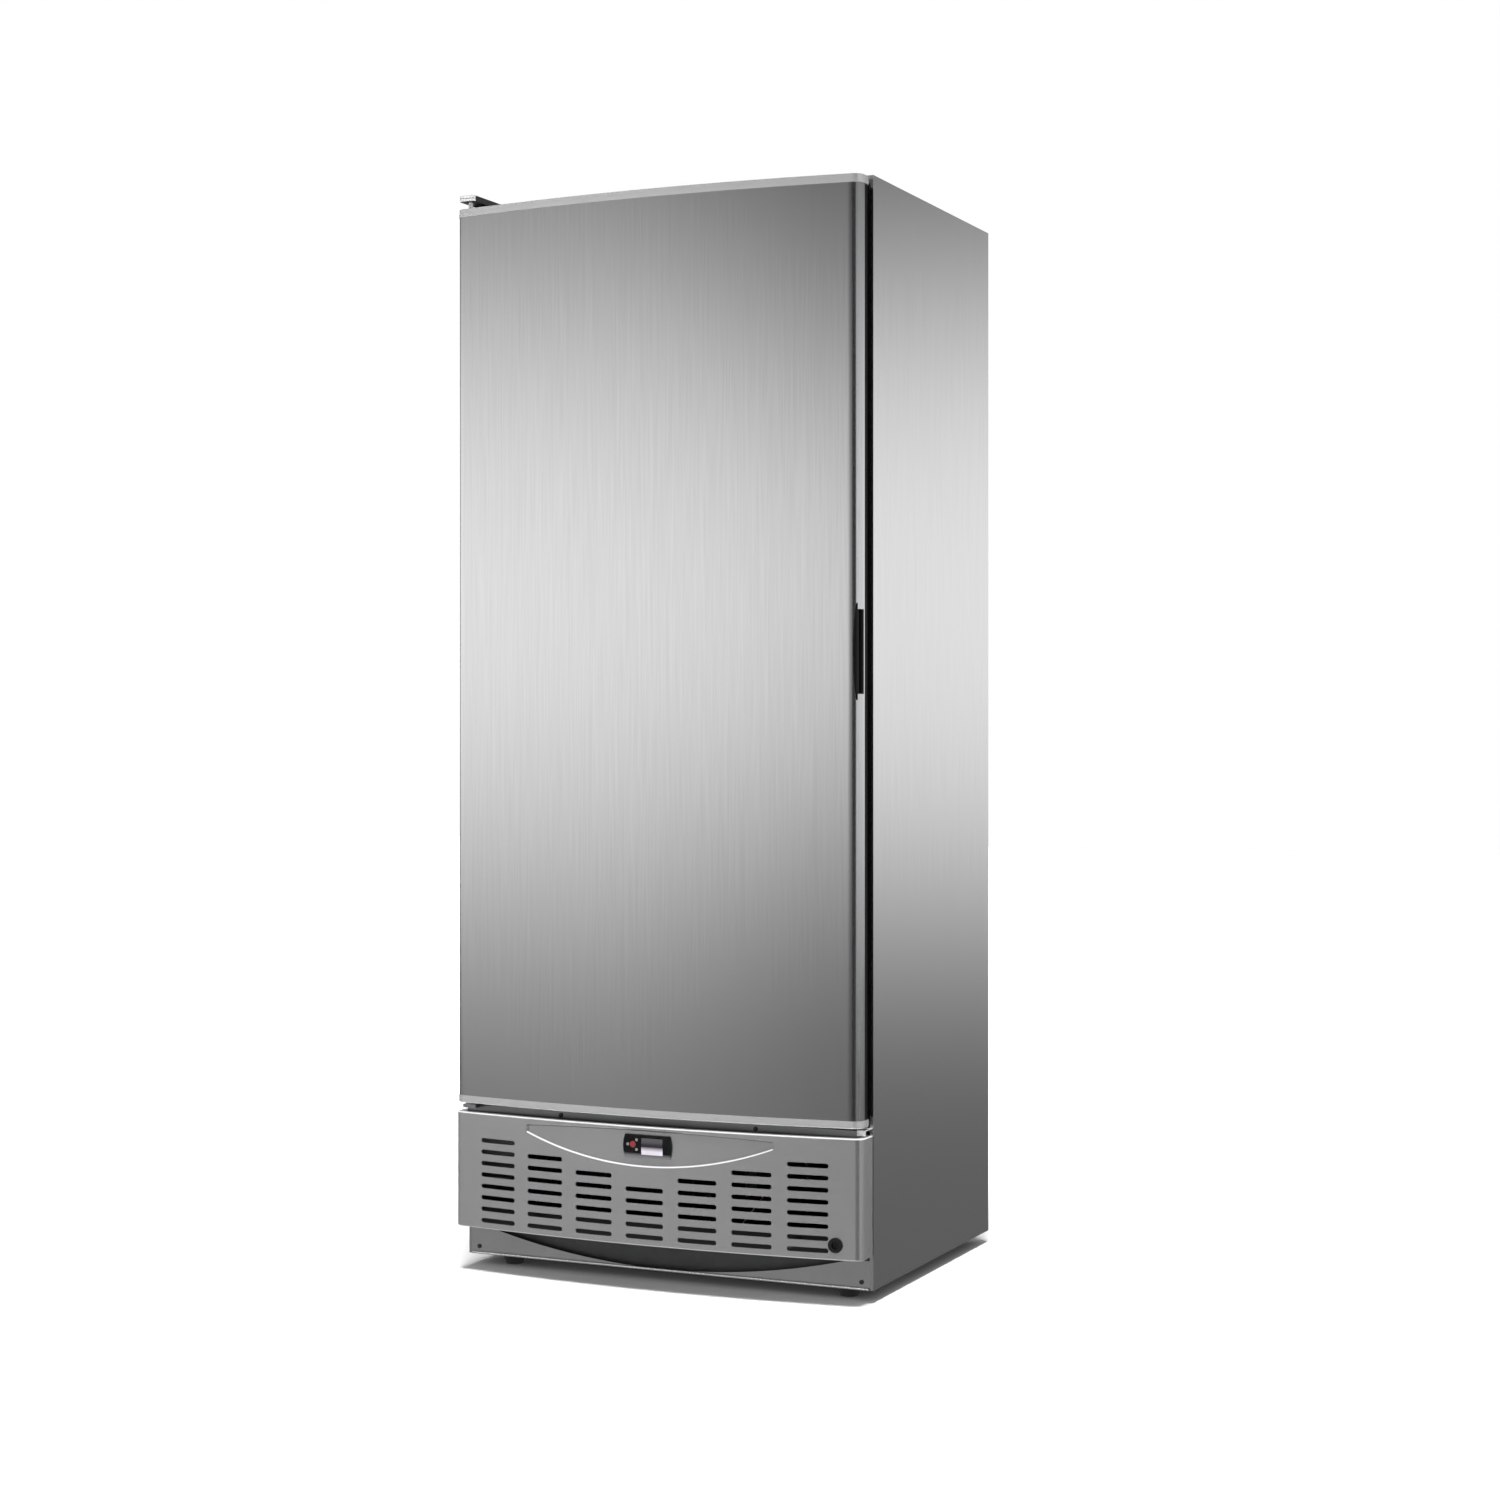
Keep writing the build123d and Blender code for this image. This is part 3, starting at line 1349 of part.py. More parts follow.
def door_inner_panel():
    """Thin inner panel with a raised field, set in the rear frame."""
    half = gasket_inner - 4
    flange = block(-half, half, door_back - inner_panel_sheet, door_back,
                   gasket_low + gasket_width + 4, gasket_high - gasket_width - 4)
    top = door_back + inner_panel_rise
    raised = rear_bulge(0, top)
    raised = fillet(raised.edges().filter_by(Axis.Y), 12.0)
    hollow = rear_bulge(inner_panel_sheet, top - inner_panel_sheet)
    hollow = fillet(hollow.edges().filter_by(Axis.Y), 10.0)
    well = hollow + Pos(0, -inner_panel_sheet, 0) * hollow
    return flange + raised - well


def door_foam():
    """Foam core of the door, out to the skin, the caps and the rear frame."""
    core = door_solid(skin_bottom, skin_top, door_shell, frame_front)
    half = gasket_inner - 4
    middle = block(-half, half, frame_front, door_back - inner_panel_sheet,
                   gasket_low + gasket_width + 4, gasket_high - gasket_width - 4)
    raised = rear_bulge(inner_panel_sheet, door_back + inner_panel_rise - inner_panel_sheet)
    raised = fillet(raised.edges().filter_by(Axis.Y), 10.0)
    raised += Pos(0, -inner_panel_sheet, 0) * raised
    return core + middle + raised - handle_space() - pin_socket()


def door_gasket():
    """Magnetic gasket: a wide foot on the frame and a narrower head towards the cabinet."""
    step = gasket_depth / 2
    trim = (gasket_width - gasket_head_width) / 2
    foot_ring = sheet_ring(gasket_outer, gasket_inner, gasket_low, gasket_high,
                           gasket_low + gasket_width, gasket_high - gasket_width, door_back, door_back + step)
    head = sheet_ring(gasket_outer - trim, gasket_inner + trim, gasket_low + trim, gasket_high - trim,
                      gasket_low + gasket_width - trim, gasket_high - gasket_width + trim,
                      door_back + step, door_back + gasket_depth)
    return foot_ring + head


# ---------------------------------------------------------------- every sub-part by name
def all_nodes():
    """Name and shape of every sub-part."""
    nodes = {
        "left_side_panel": side_panel(-1),
        "right_side_panel": side_panel(1),
        "top_panel": top_panel(),
        "back_panel": back_panel(),
        "bay_ceiling": bay_ceiling(),
        "foam_insulation": foam_insulation(),
        "inner_liner": inner_liner(),
        "front_frame": front_frame(),
        "hinge_rail": hinge_rail(),
        "hinge_hole_plug": hinge_hole_plug(),
        "base_tray": base_tray(),
        "kick_plate": kick_plate(),
        "air_baffle": air_baffle(),
        "screws": screws(),
        "wall_spacers": wall_spacers(),
        "top_hinge_bracket": top_hinge_bracket(),
        "lower_hinge_bracket": lower_hinge_bracket(),
        "hinge_pins": hinge_pins(),
        "grille_panel": grille_panel(),
        "grille_bush": grille_bush(),
        "controller_housing": controller_housing(),
        "display_lens": display_lens(),
        "compressor": compressor(),
        "compressor_mounts": compressor_mounts(),
        "condenser": condenser(),
        "fan_shroud": fan_shroud(),
        "condenser_fan_motor": condenser_fan_motor(),
        "condenser_fan_blade": condenser_fan_blade(),
        "drip_tray": drip_tray(),
        "drain_spout": drain_spout(),
        "electrical_box": electrical_box(),
        "bay_rear_cover": bay_rear_cover(),
        "refrigerant_pipes": refrigerant_pipes(),
        "evaporator_cover": evaporator_cover(),
        "evaporator": evaporator(),
        "evaporator_fan_motor": evaporator_fan_motor(),
        "evaporator_fan_blade": evaporator_fan_blade(),
        "shelf_pilasters": shelf_pilasters(),
        "shelf_clips": shelf_clips(),
        "door_skin": door_skin(),
        "door_side_trims": door_side_trims(),
        "door_top_cap": door_top_cap(),
        "door_bottom_cap": door_bottom_cap(),
        "door_foam": door_foam(),
        "door_frame": door_frame(),
        "door_inner_panel": door_inner_panel(),
        "door_gasket": door_gasket(),
        "handle_pocket": handle_pocket(),
    }
    for place, (x, y) in zip(("front_left", "front_right", "rear_left", "rear_right"), foot_places()):
        nodes["foot_" + place] = foot(x, y)
    for label, (x, z, diameter) in zip(("power", "left", "upper", "lower"), button_places()):
        nodes["button_" + label] = button(x, z, diameter)
    for number, level in enumerate(shelf_levels(), start=1):
        nodes[f"wire_shelf_{number}"] = wire_shelf(level)
    return nodes


os.makedirs("parts", exist_ok=True)
for name, shape in all_nodes().items():
    solids = [s for piece in shape for s in piece.solids()] if isinstance(shape, list) else shape.solids()
    export_step(Compound(children=list(solids)), f"parts/{name}.step")
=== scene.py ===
# %% [markdown]
# # An upright freezer in brushed steel
# The CAD model already holds every sub-part at its real size, so this lesson adds what CAD
# leaves out: finishes, light, a camera, and the small forms that only show close up, such as
# round shelf wires, a folded door gasket and screw heads. Everything is in metres, in the CAD
# model's own frame: X to the right seen from the front, Y to the back, Z up from the floor.

# %% Load the CAD model
import math

import bmesh
import bpy
from mathutils import Matrix, Vector


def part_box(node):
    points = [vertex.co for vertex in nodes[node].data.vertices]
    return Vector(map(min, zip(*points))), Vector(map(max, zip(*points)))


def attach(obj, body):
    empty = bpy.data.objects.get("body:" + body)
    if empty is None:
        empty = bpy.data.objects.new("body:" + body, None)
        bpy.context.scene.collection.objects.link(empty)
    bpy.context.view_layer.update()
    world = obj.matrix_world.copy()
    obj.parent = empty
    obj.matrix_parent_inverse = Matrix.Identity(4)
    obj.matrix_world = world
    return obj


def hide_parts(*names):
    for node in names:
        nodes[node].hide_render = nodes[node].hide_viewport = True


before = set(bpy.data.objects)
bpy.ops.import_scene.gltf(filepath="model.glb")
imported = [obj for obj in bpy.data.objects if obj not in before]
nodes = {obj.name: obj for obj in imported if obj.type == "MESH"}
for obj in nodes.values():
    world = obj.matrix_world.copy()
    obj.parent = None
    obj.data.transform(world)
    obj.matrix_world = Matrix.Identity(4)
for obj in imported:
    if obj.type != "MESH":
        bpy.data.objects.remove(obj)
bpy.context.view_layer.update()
MM = 0.001

# %% [markdown]
# ## The camera
# The photograph looks at the right front edge of the cabinet, level, from about 4.4 m away.
# A long lens keeps the uprights nearly parallel. The horizon lies a little above the middle of
# the picture, so a small shift moves the view down. Tilting the camera instead would make the
# uprights lean.

# %% Camera
CAMERA_PLACE = Vector((2.0155, -4.3432, 0.9686))
CAMERA_TURN = math.radians(24.46)
LEVEL = math.radians(90)
LENS = 63.29
SENSOR = 36
SHIFT_UP = -0.019
NEAREST = 0.05

camera_data = bpy.data.cameras.new("camera")
camera_data.sensor_width = SENSOR
camera_data.lens = LENS
camera_data.shift_y = SHIFT_UP
camera_data.clip_start = NEAREST
camera = bpy.data.objects.new("camera", camera_data)
camera.location = CAMERA_PLACE
camera.rotation_euler = (LEVEL, 0, CAMERA_TURN)
bpy.context.scene.collection.objects.link(camera)
bpy.context.scene.camera = camera
print("camera at", tuple(round(c, 3) for c in camera.location), "lens", LENS)

# %% [markdown]
# ## Two helpers for node trees
# Colours are picked as sRGB hex values, because that is how they are read off a colour card,
# but shaders work in linear light, so one function converts them. A second function adds any
# kind of node with its settings and links in one line.


# %% Helpers for colour and nodes
def linear(code):
    """A hex colour such as #c8ccd0 as linear red, green, blue and alpha."""
    parts = [int(code[i:i + 2], 16) / 255 for i in (1, 3, 5)]
    return [c / 12.92 if c <= 0.04045 else ((c + 0.055) / 1.055) ** 2.4 for c in parts] + [1.0]


def add(tree, kind, settings=None):
    """Adds a node. A setting is one of its properties, or an input by its name or number. An
    input takes a value, or else the socket that feeds it, or a node for its first socket."""
    made = tree.nodes.new(kind)
    for key, value in (settings or {}).items():
        if isinstance(value, bpy.types.Node):
            value = value.outputs[0]
        if isinstance(value, bpy.types.NodeSocket):
            tree.links.new(value, made.inputs[key])
        elif isinstance(key, int) or key in made.inputs:
            made.inputs[key].default_value = value
        else:
            setattr(made, key, value)
    return made


MATH = "ShaderNodeMath"
RANGE = "ShaderNodeMapRange"
SMOOTH = {"interpolation_type": "SMOOTHSTEP"}
print("steel grey in linear light:", [round(c, 3) for c in linear("#c8ccd0")])

# %% [markdown]
# ## Studio light
# Brushed steel shows the room, not itself. The door in the photograph is bright in the middle
# and falls off to dark at its head and foot, and its rounded right edge goes dark: it mirrors a
# bright band of studio wall at eye level, with a dark flag to the right. Upper edges and lower
# lips glint, from the white ceiling and the white floor. The world shader draws all this, and
# each part of it depends only on a ray's direction: its height above the horizon and its turn
# from straight ahead of the door, both in degrees.

# %% Direction of a ray
world = bpy.data.worlds.new("studio")
bpy.context.scene.world = world
world.use_nodes = True
sky = world.node_tree
sky.nodes.clear()
ways = add(sky, "ShaderNodeTexCoord")
axes = add(sky, "ShaderNodeSeparateXYZ", {0: ways.outputs["Generated"]}).outputs
climb = add(sky, MATH, {"operation": "ARCSINE", 0: axes["Z"]})
height = add(sky, MATH, {"operation": "DEGREES", 0: climb})
ahead = add(sky, MATH, {"operation": "MULTIPLY", 0: axes["Y"], 1: -1.0})
angle = add(sky, MATH, {"operation": "ARCTAN2", 0: axes["X"], 1: ahead})
turn = add(sky, MATH, {"operation": "DEGREES", 0: angle})
print("world nodes for the direction:", len(sky.nodes))

# %% Bright band at eye level
BAND_HEIGHT = 2.7
BAND_TURN = (7.0, 30.0)
BAND_WIDTH = (4.6, 6.6)
BAND_STEEPNESS = 3.0
BAND_STRENGTH = 1.3
DARK_LEVEL = 0.03

aside = add(sky, MATH, {"operation": "ABSOLUTE", 0: turn})
width = add(sky, RANGE, {0: aside, 1: BAND_TURN[0], 2: BAND_TURN[1], 3: BAND_WIDTH[0], 4: BAND_WIDTH[1]})
above = add(sky, MATH, {"operation": "SUBTRACT", 0: height, 1: BAND_HEIGHT})
widths_off = add(sky, MATH, {"operation": "DIVIDE", 0: above, 1: width})
distance = add(sky, MATH, {"operation": "ABSOLUTE", 0: widths_off})
steep = add(sky, MATH, {"operation": "POWER", 0: distance, 1: BAND_STEEPNESS})
bell = add(sky, MATH, {"operation": "POWER", 0: 0.5, 1: steep})
print("band:", BAND_HEIGHT, "degrees up, half as bright", BAND_WIDTH, "degrees off its middle")

# %% [markdown]
# The dark flag takes the band away between two turns. White ceiling and white floor light up
# far above and below the horizon. Two weaker strips of floor lie close to it, one to the side
# for the cabinet's long panel, and one in front for the silver grille.

# %% Flag, ceiling and floor
FLAG_STARTS = (-4.0, 13.0)
FLAG_ENDS = (46.0, 60.0)
SIDE_STARTS = (70.0, 110.0)
CEILING = (38.0, 62.0, 1.0)
FLOOR = (-30.0, -55.0, 0.5)
SIDE_FLOOR = (-5.0, -12.0, 0.13)
FRONT_FLOOR = (-10.0, -12.5, 0.34)

before_flag = add(sky, RANGE, {**SMOOTH, 0: turn, 1: FLAG_STARTS[0], 2: FLAG_STARTS[1], 3: 1.0, 4: 0.0})
after_flag = add(sky, RANGE, {**SMOOTH, 0: turn, 1: FLAG_ENDS[0], 2: FLAG_ENDS[1]})
lit = add(sky, MATH, {"operation": "ADD", 0: before_flag, 1: after_flag})
sideways = add(sky, RANGE, {**SMOOTH, 0: turn, 1: SIDE_STARTS[0], 2: SIDE_STARTS[1]})
forwards = add(sky, MATH, {"operation": "SUBTRACT", 0: lit, 1: sideways})
lit_bell = add(sky, MATH, {"operation": "MULTIPLY", 0: bell, 1: lit})
band = add(sky, MATH, {"operation": "MULTIPLY_ADD", 0: lit_bell, 1: BAND_STRENGTH, 2: DARK_LEVEL})
for (start, stop, strength), share in ((CEILING, 1.0), (FLOOR, 1.0), (SIDE_FLOOR, sideways),
                                       (FRONT_FLOOR, forwards)):
    glow = add(sky, RANGE, {**SMOOTH, 0: height, 1: start, 2: stop, 4: strength})
    band = add(sky, MATH, {"operation": "MULTIPLY_ADD", 0: glow, 1: share, 2: band})
print("flag from", FLAG_STARTS[0], "to", FLAG_ENDS[1], "degrees to the right")

# %% [markdown]
# Only mirrored rays see the band. Matt surfaces get an even white sky, so that the band
# doesn't light them from one side, and the camera sees plain white paper.

# %% Which ray sees what
SKY_STRENGTH = 0.26
WHITE = linear("#ffffff")

rays = add(sky, "ShaderNodeLightPath").outputs
even = add(sky, "ShaderNodeBackground", {"Color": WHITE, "Strength": SKY_STRENGTH})
mirrored = add(sky, "ShaderNodeBackground", {"Color": WHITE, "Strength": band})
paper = add(sky, "ShaderNodeBackground", {"Color": WHITE, "Strength": 1.0})
lighting = add(sky, "ShaderNodeMixShader", {0: rays["Is Glossy Ray"], 1: even, 2: mirrored})
seen = add(sky, "ShaderNodeMixShader", {0: rays["Is Camera Ray"], 1: lighting, 2: paper})
add(sky, "ShaderNodeOutputWorld", {0: seen})
print("world nodes:", len(sky.nodes))

# %% [markdown]
# ## Lamps and floor
# A lamp nearly overhead, tilted a little towards the camera, drops a short dark shadow under
# the overhanging front. A weak one in front opens up the dark parts. Polished metal mirrors
# neither of them, nor the floor, because the world above already holds what it should show.

# %% Lamps
OVERHEAD_PLACE = Vector((0, 0, 5))
OVERHEAD_STRENGTH = 4.1
OVERHEAD_SPREAD = math.radians(16)
OVERHEAD_TILT = math.radians(12)
FILL_PLACE = Vector((1.6, -4.0, 2.4))
FILL_SIZE = 3.0
FILL_POWER = 40.0
AIM = Vector((0, 0, 0.9))


def hang(data, place, shine):
    """Puts a lamp in the scene that shines this way; polished metal doesn't mirror it."""
    lamp = bpy.data.objects.new(data.name, data)
    lamp.location = place
    lamp.rotation_euler = shine.to_track_quat("-Z", "Y").to_euler()
    lamp.visible_glossy = False
    bpy.context.scene.collection.objects.link(lamp)


overhead = bpy.data.lights.new("overhead", "SUN")
overhead.energy = OVERHEAD_STRENGTH
overhead.angle = OVERHEAD_SPREAD
away_from_camera = Vector((-math.sin(CAMERA_TURN), math.cos(CAMERA_TURN), 0))
hang(overhead, OVERHEAD_PLACE, away_from_camera * math.tan(OVERHEAD_TILT) - Vector((0, 0, 1)))
fill = bpy.data.lights.new("fill", "AREA")
fill.shape = "DISK"
fill.size = FILL_SIZE
fill.energy = FILL_POWER
hang(fill, FILL_PLACE, AIM - FILL_PLACE)
print("lamps:", overhead.name, "and", fill.name)

# %% Floor
FLOOR_SIZE = 30.0
floor_mesh = bpy.data.meshes.new("floor")
sweep = bmesh.new()
bmesh.ops.create_grid(sweep, x_segments=1, y_segments=1, size=FLOOR_SIZE / 2)
sweep.to_mesh(floor_mesh)
sweep.free()
floor = bpy.data.objects.new("floor", floor_mesh)
floor.visible_glossy = False
bpy.context.scene.collection.objects.link(floor)
print("floor:", FLOOR_SIZE, "m wide")

# %% [markdown]
# ## A start for every finish
# Each finish begins as one Principled shader with the plain facts of the material: colour,
# metal or not, roughness and, for plastics and lacquers, the index of refraction. Metals keep
# the default index. Patterns read Object coordinates, which are metres in the CAD frame, and
# one Mapping node stretches them so that a pattern's cell has its real size in millimetres.


# %% A plain finish and its patterns
def new_finish(name, colour, metallic=0.0, roughness=0.5, ior=None):
    """A material with one Principled shader; gives its tree and that shader."""
    material = bpy.data.materials.new(name)
    material.use_nodes = True
    tree = material.node_tree
    tree.nodes.clear()
    settings = {"Base Color": linear(colour), "Metallic": metallic, "Roughness": roughness}
    if ior:
        settings["IOR"] = ior
    shader = add(tree, "ShaderNodeBsdfPrincipled", settings)
    add(tree, "ShaderNodeOutputMaterial", {0: shader})
    return material, tree, shader


def object_axes(tree):
    """X, Y and Z of the Object coordinates as three sockets."""
    place = add(tree, "ShaderNodeTexCoord")
    return add(tree, "ShaderNodeSeparateXYZ", {0: place.outputs["Object"]}).outputs


def cells(tree, size_mm):
    """Object coordinates scaled so that one unit is a cell of this size in millimetres."""
    place = add(tree, "ShaderNodeTexCoord")
    scale = [1 / (s * MM) for s in size_mm]
    return add(tree, "ShaderNodeMapping", {"Scale": scale, "Vector": place.outputs["Object"]})


def blobs(tree, size_mm, detail=3.0):
    """Smooth noise whose blobs have this size in millimetres along X, Y and Z."""
    made = add(tree, "ShaderNodeTexNoise", {"Scale": 1.0, "Detail": detail, "Vector": cells(tree, size_mm)})
    return made.outputs[0]


print("a pattern of 2 mm cells is scaled by", 1 / (2 * MM))

# %% [markdown]
# A pattern can colour a finish, make it duller and shinier, or raise and sink its surface.
# Blender's noise mostly lies between 0.3 and 0.7, so that stretch is spread over the two
# colours or the two roughnesses.

# %% What a pattern does to a finish
NOISE_LOW = 0.3
NOISE_HIGH = 0.7


def tint(tree, shader, pattern, dark, light, start=NOISE_LOW, stop=NOISE_HIGH):
    """Colours the shader from dark to light while the pattern runs from start to stop."""
    share = add(tree, RANGE, {0: pattern, 1: start, 2: stop})
    mix = add(tree, "ShaderNodeMix", {"data_type": "RGBA", 0: share, 6: linear(dark), 7: linear(light)})
    tree.links.new(mix.outputs[2], shader.inputs["Base Color"])


def vary_shine(tree, shader, pattern, low, high, start=NOISE_LOW, stop=NOISE_HIGH):
    """Runs the roughness from low to high while the pattern runs from start to stop."""
    rough = add(tree, RANGE, {0: pattern, 1: start, 2: stop, 3: low, 4: high})
    tree.links.new(rough.outputs[0], shader.inputs["Roughness"])


def relief(tree, shader, pattern, depth_mm):
    """Raises and sinks the surface by a pattern, to this depth in millimetres."""
    bump = add(tree, "ShaderNodeBump", {"Strength": 1.0, "Distance": depth_mm * MM, "Height": pattern})
    tree.links.new(bump.outputs[0], shader.inputs["Normal"])


def paint_over(material, share, colour, roughness=0.5):
    """Covers a finish with a plain colour by a share from 0 to 1; here it lays painted shade and painted
    highlights.
    """
    tree = material.node_tree
    ending = next(n for n in tree.nodes if n.type == "OUTPUT_MATERIAL")
    below = ending.inputs["Surface"].links[0].from_socket
    paint = add(tree, "ShaderNodeBsdfPrincipled",
                {"Base Color": linear(colour), "Roughness": roughness, "IOR": 1.5})
    mix = add(tree, "ShaderNodeMixShader", {0: share, 1: below, 2: paint})
    tree.links.new(mix.outputs[0], ending.inputs["Surface"])


finishes = {}
print("noise is spread from", NOISE_LOW, "to", NOISE_HIGH)

# %% [markdown]
# ## Brushed stainless steel
# Door and cabinet are 0.8 to 1.2 mm stainless sheet, ground with an upright grit belt. The
# scratches are about 0.2 mm apart, too fine for the picture, so they are drawn 2 mm apart
# and 160 mm long, as the photograph seems to show them. The grain makes the sheet shiny along
# it and dull across it: an anisotropic shader with a level tangent spreads each highlight
# sideways and leaves the up-and-down falloff crisp.

# %% Brushed steel
SCRATCH = (2.0, 2.0, 160.0)
GRAIN_PULL = 0.45
GRAIN_SHINE = 0.004


def brushed_steel(name, light, dark, roughness):
    """Stainless sheet with an upright grain."""
    material, tree, shader = new_finish(name, light, 1.0, roughness)
    shader.inputs["Anisotropic"].default_value = GRAIN_PULL
    level = add(tree, "ShaderNodeTangent", {"direction_type": "RADIAL", "axis": "Z"})
    tree.links.new(level.outputs[0], shader.inputs["Tangent"])
    grain = blobs(tree, SCRATCH, detail=2.0)
    tint(tree, shader, grain, dark, light)
    vary_shine(tree, shader, grain, roughness + GRAIN_SHINE, roughness - GRAIN_SHINE)
    return material


finishes["door_steel"] = brushed_steel("brushed_stainless_door", "#d6d6d6", "#d0d0d0", 0.235)
finishes["cabinet_steel"] = brushed_steel("brushed_stainless_cabinet", "#c9c9c9", "#c4c4c4", 0.26)
print("finishes:", len(finishes))

# %% [markdown]
# The door's sheet folds back softly at its right edge, over a wider stretch than the sheet of
# the CAD model does. A bump that falls away over the last 22 mm turns the shading only, so the
# edge mirrors the dark flag and the outline stays.

# %% Soft right edge of the door
ROLL_START = 361.5
ROLL_END = 384.0
ROLL_DROP = 2.4

door_tree = finishes["door_steel"].node_tree
fall = add(door_tree, RANGE, {**SMOOTH, 0: object_axes(door_tree)["X"], 1: ROLL_START * MM,
                              2: ROLL_END * MM, 3: 0.0, 4: -ROLL_DROP * MM})
roll = add(door_tree, "ShaderNodeBump", {"Strength": 1.0, "Distance": 1.0, "Height": fall})
door_shader = next(n for n in door_tree.nodes if n.type == "BSDF_PRINCIPLED")
door_tree.links.new(roll.outputs[0], door_shader.inputs["Normal"])
print("the door's shading turns from x", ROLL_START, "to", ROLL_END, "mm")

# %% [markdown]
# ## Rolled and zinc coated sheet
# Roof, kick plate and hinge rail are plain rolled sheet: metal with faint clouds and no grain. The hinge
# rail's steel is darker, as painted shade from the door above it.
# The back, the rear cover and the lower hinge bracket are hot dip galvanised. Zinc freezes in
# flakes about 12 mm across, each a slightly different grey, which a Voronoi pattern gives. The
# shelf pilasters and the rear screws have bright zinc plating, with a soft blue grey shine.


# %% Rolled sheet, galvanised sheet and zinc plate
def rolled_sheet(name, light, dark, roughness):
    """Smooth sheet with faint clouds."""
    material, tree, shader = new_finish(name, light, 1.0, roughness)
    tint(tree, shader, blobs(tree, (40, 40, 40)), dark, light)
    return material


def galvanised_sheet():
    """Zinc flakes, each with its own grey and its own shine."""
    material, tree, shader = new_finish("galvanised_sheet", "#b4b8ba", 1.0, 0.42)
    flakes = add(tree, "ShaderNodeTexVoronoi", {"Scale": 1.0, "Vector": cells(tree, (12, 12, 12))})
    flake = add(tree, "ShaderNodeSeparateColor", {0: flakes.outputs["Color"]}).outputs
    tint(tree, shader, flake["Red"], "#9a9ea1", "#c2c6c8", 0, 1)
    vary_shine(tree, shader, flake["Green"], 0.34, 0.52, 0, 1)
    return material


def zinc_plate():
    """Thin bright plating, very slightly uneven."""
    material, tree, shader = new_finish("bright_zinc_plate", "#c9cdd1", 1.0, 0.33)
    tint(tree, shader, blobs(tree, (6, 6, 6)), "#bfc4c9", "#d2d5d8")
    relief(tree, shader, blobs(tree, (0.8, 0.8, 0.8)), 0.01)
    return material


# Painted shade: the hinge rail's steel is darker for the shade under the door's foot.
finishes["shaded_rail_steel"] = rolled_sheet("rolled_steel_painted_shade", "#9a9b9c", "#929394", 0.38)
finishes["kick_steel"] = rolled_sheet("rolled_steel_and_painted_shade", "#bcbcbc", "#b6b6b6", 0.3)
finishes["roof_steel"] = rolled_sheet("smooth_roof_steel", "#d0d0d0", "#cacaca", 0.32)
finishes["galvanised"] = galvanised_sheet()
finishes["zinc"] = zinc_plate()
print("finishes:", len(finishes))

# %% [markdown]
# The top of the kick plate stands behind the grille. It gets painted shade there, dull black, or its steel
# would shine through the slots, which are black.

# %% Painted shade behind the grille
SHADE_EDGE = (70, 72)

kick_tree = finishes["kick_steel"].node_tree
painted = add(kick_tree, RANGE, {0: object_axes(kick_tree)["Z"],
                                 1: SHADE_EDGE[0] * MM, 2: SHADE_EDGE[1] * MM})
# Painted shade: dull black over the kick plate above the edge height.
paint_over(finishes["kick_steel"], painted.outputs[0], "#0b0c0d")
print("black above", SHADE_EDGE[1], "mm")

# %% [markdown]
# ## Silver lacquer
# The grille and the door's caps are injection moulded ABS with a silver lacquer. Its fine
# aluminium flake makes it partly metal to the eye and partly grey paint, so the metallic value
# lies between the two. The flake is drawn 1.2 mm coarse, because real flake wouldn't show.

# %% Lacquered grille and caps
FLAKE = (1.2, 1.2, 1.2)
FLAKE_RELIEF = 0.0005


def silver_lacquer(name, light, dark, metallic, roughness):
    """Satin lacquer with aluminium flake."""
    material, tree, shader = new_finish(name, light, metallic, roughness, 1.5)
    flake = blobs(tree, FLAKE, detail=2.0)
    tint(tree, shader, flake, dark, light)
    relief(tree, shader, flake, FLAKE_RELIEF)
    return material


finishes["grille_silver"] = silver_lacquer("silver_lacquered_abs", "#cccccd", "#c5c5c6", 0.86, 0.24)
finishes["cap_silver"] = silver_lacquer("silver_lacquered_caps", "#d9d9da", "#d3d3d4", 0.65, 0.22)
print("finishes:", len(finishes))

# %% [markdown]
# The smile recess has a bevelled rim of two arcs. Its lower bevel shines and its upper one lies in shadow,
# and the grille's top edge is one bright line. The bevels are only 1 to 2 mm wide, so the lower bevel and the
# top edge each get a thin painted highlight and the upper bevel a thin painted shadow, sure to show. An arc
# is given by half its chord, the height of its ends and the height of its middle, in millimetres.

# %% Painted highlights and shadow on the grille
SMILE_HALF = 233.5
SMILE_LOWER = (256.5, 213.5)
SMILE_UPPER = (268.0, 274.0)
SMILE_LINE = (0.5, 1.5)
TOP_LINE = (278.6, 279.6)
TOP_LINE_COVER = 0.7


def arc_line(tree, half, ends, middle):
    """Share that is 1 on a thin arc in the XZ plane and 0 elsewhere."""
    axes = object_axes(tree)
    rise = ends - middle
    radius = (half ** 2 + rise ** 2) / (2 * abs(rise))
    centre = middle + radius * (1 if rise > 0 else -1)
    across = add(tree, MATH, {"operation": "POWER", 0: axes["X"], 1: 2.0})
    up = add(tree, MATH, {"operation": "SUBTRACT", 0: axes["Z"], 1: centre * MM})
    up = add(tree, MATH, {"operation": "POWER", 0: up, 1: 2.0})
    squares = add(tree, MATH, {"operation": "ADD", 0: across, 1: up})
    far = add(tree, MATH, {"operation": "SQRT", 0: squares})
    far = add(tree, MATH, {"operation": "SUBTRACT", 0: far, 1: radius * MM})
    far = add(tree, MATH, {"operation": "ABSOLUTE", 0: far})
    near = add(tree, RANGE, {0: far, 1: SMILE_LINE[0] * MM, 2: SMILE_LINE[1] * MM, 3: 1.0, 4: 0.0})
    aside = add(tree, MATH, {"operation": "ABSOLUTE", 0: axes["X"]})
    inside = add(tree, MATH, {"operation": "LESS_THAN", 0: aside, 1: half * MM})
    return add(tree, MATH, {"operation": "MULTIPLY", 0: near, 1: inside}).outputs[0]


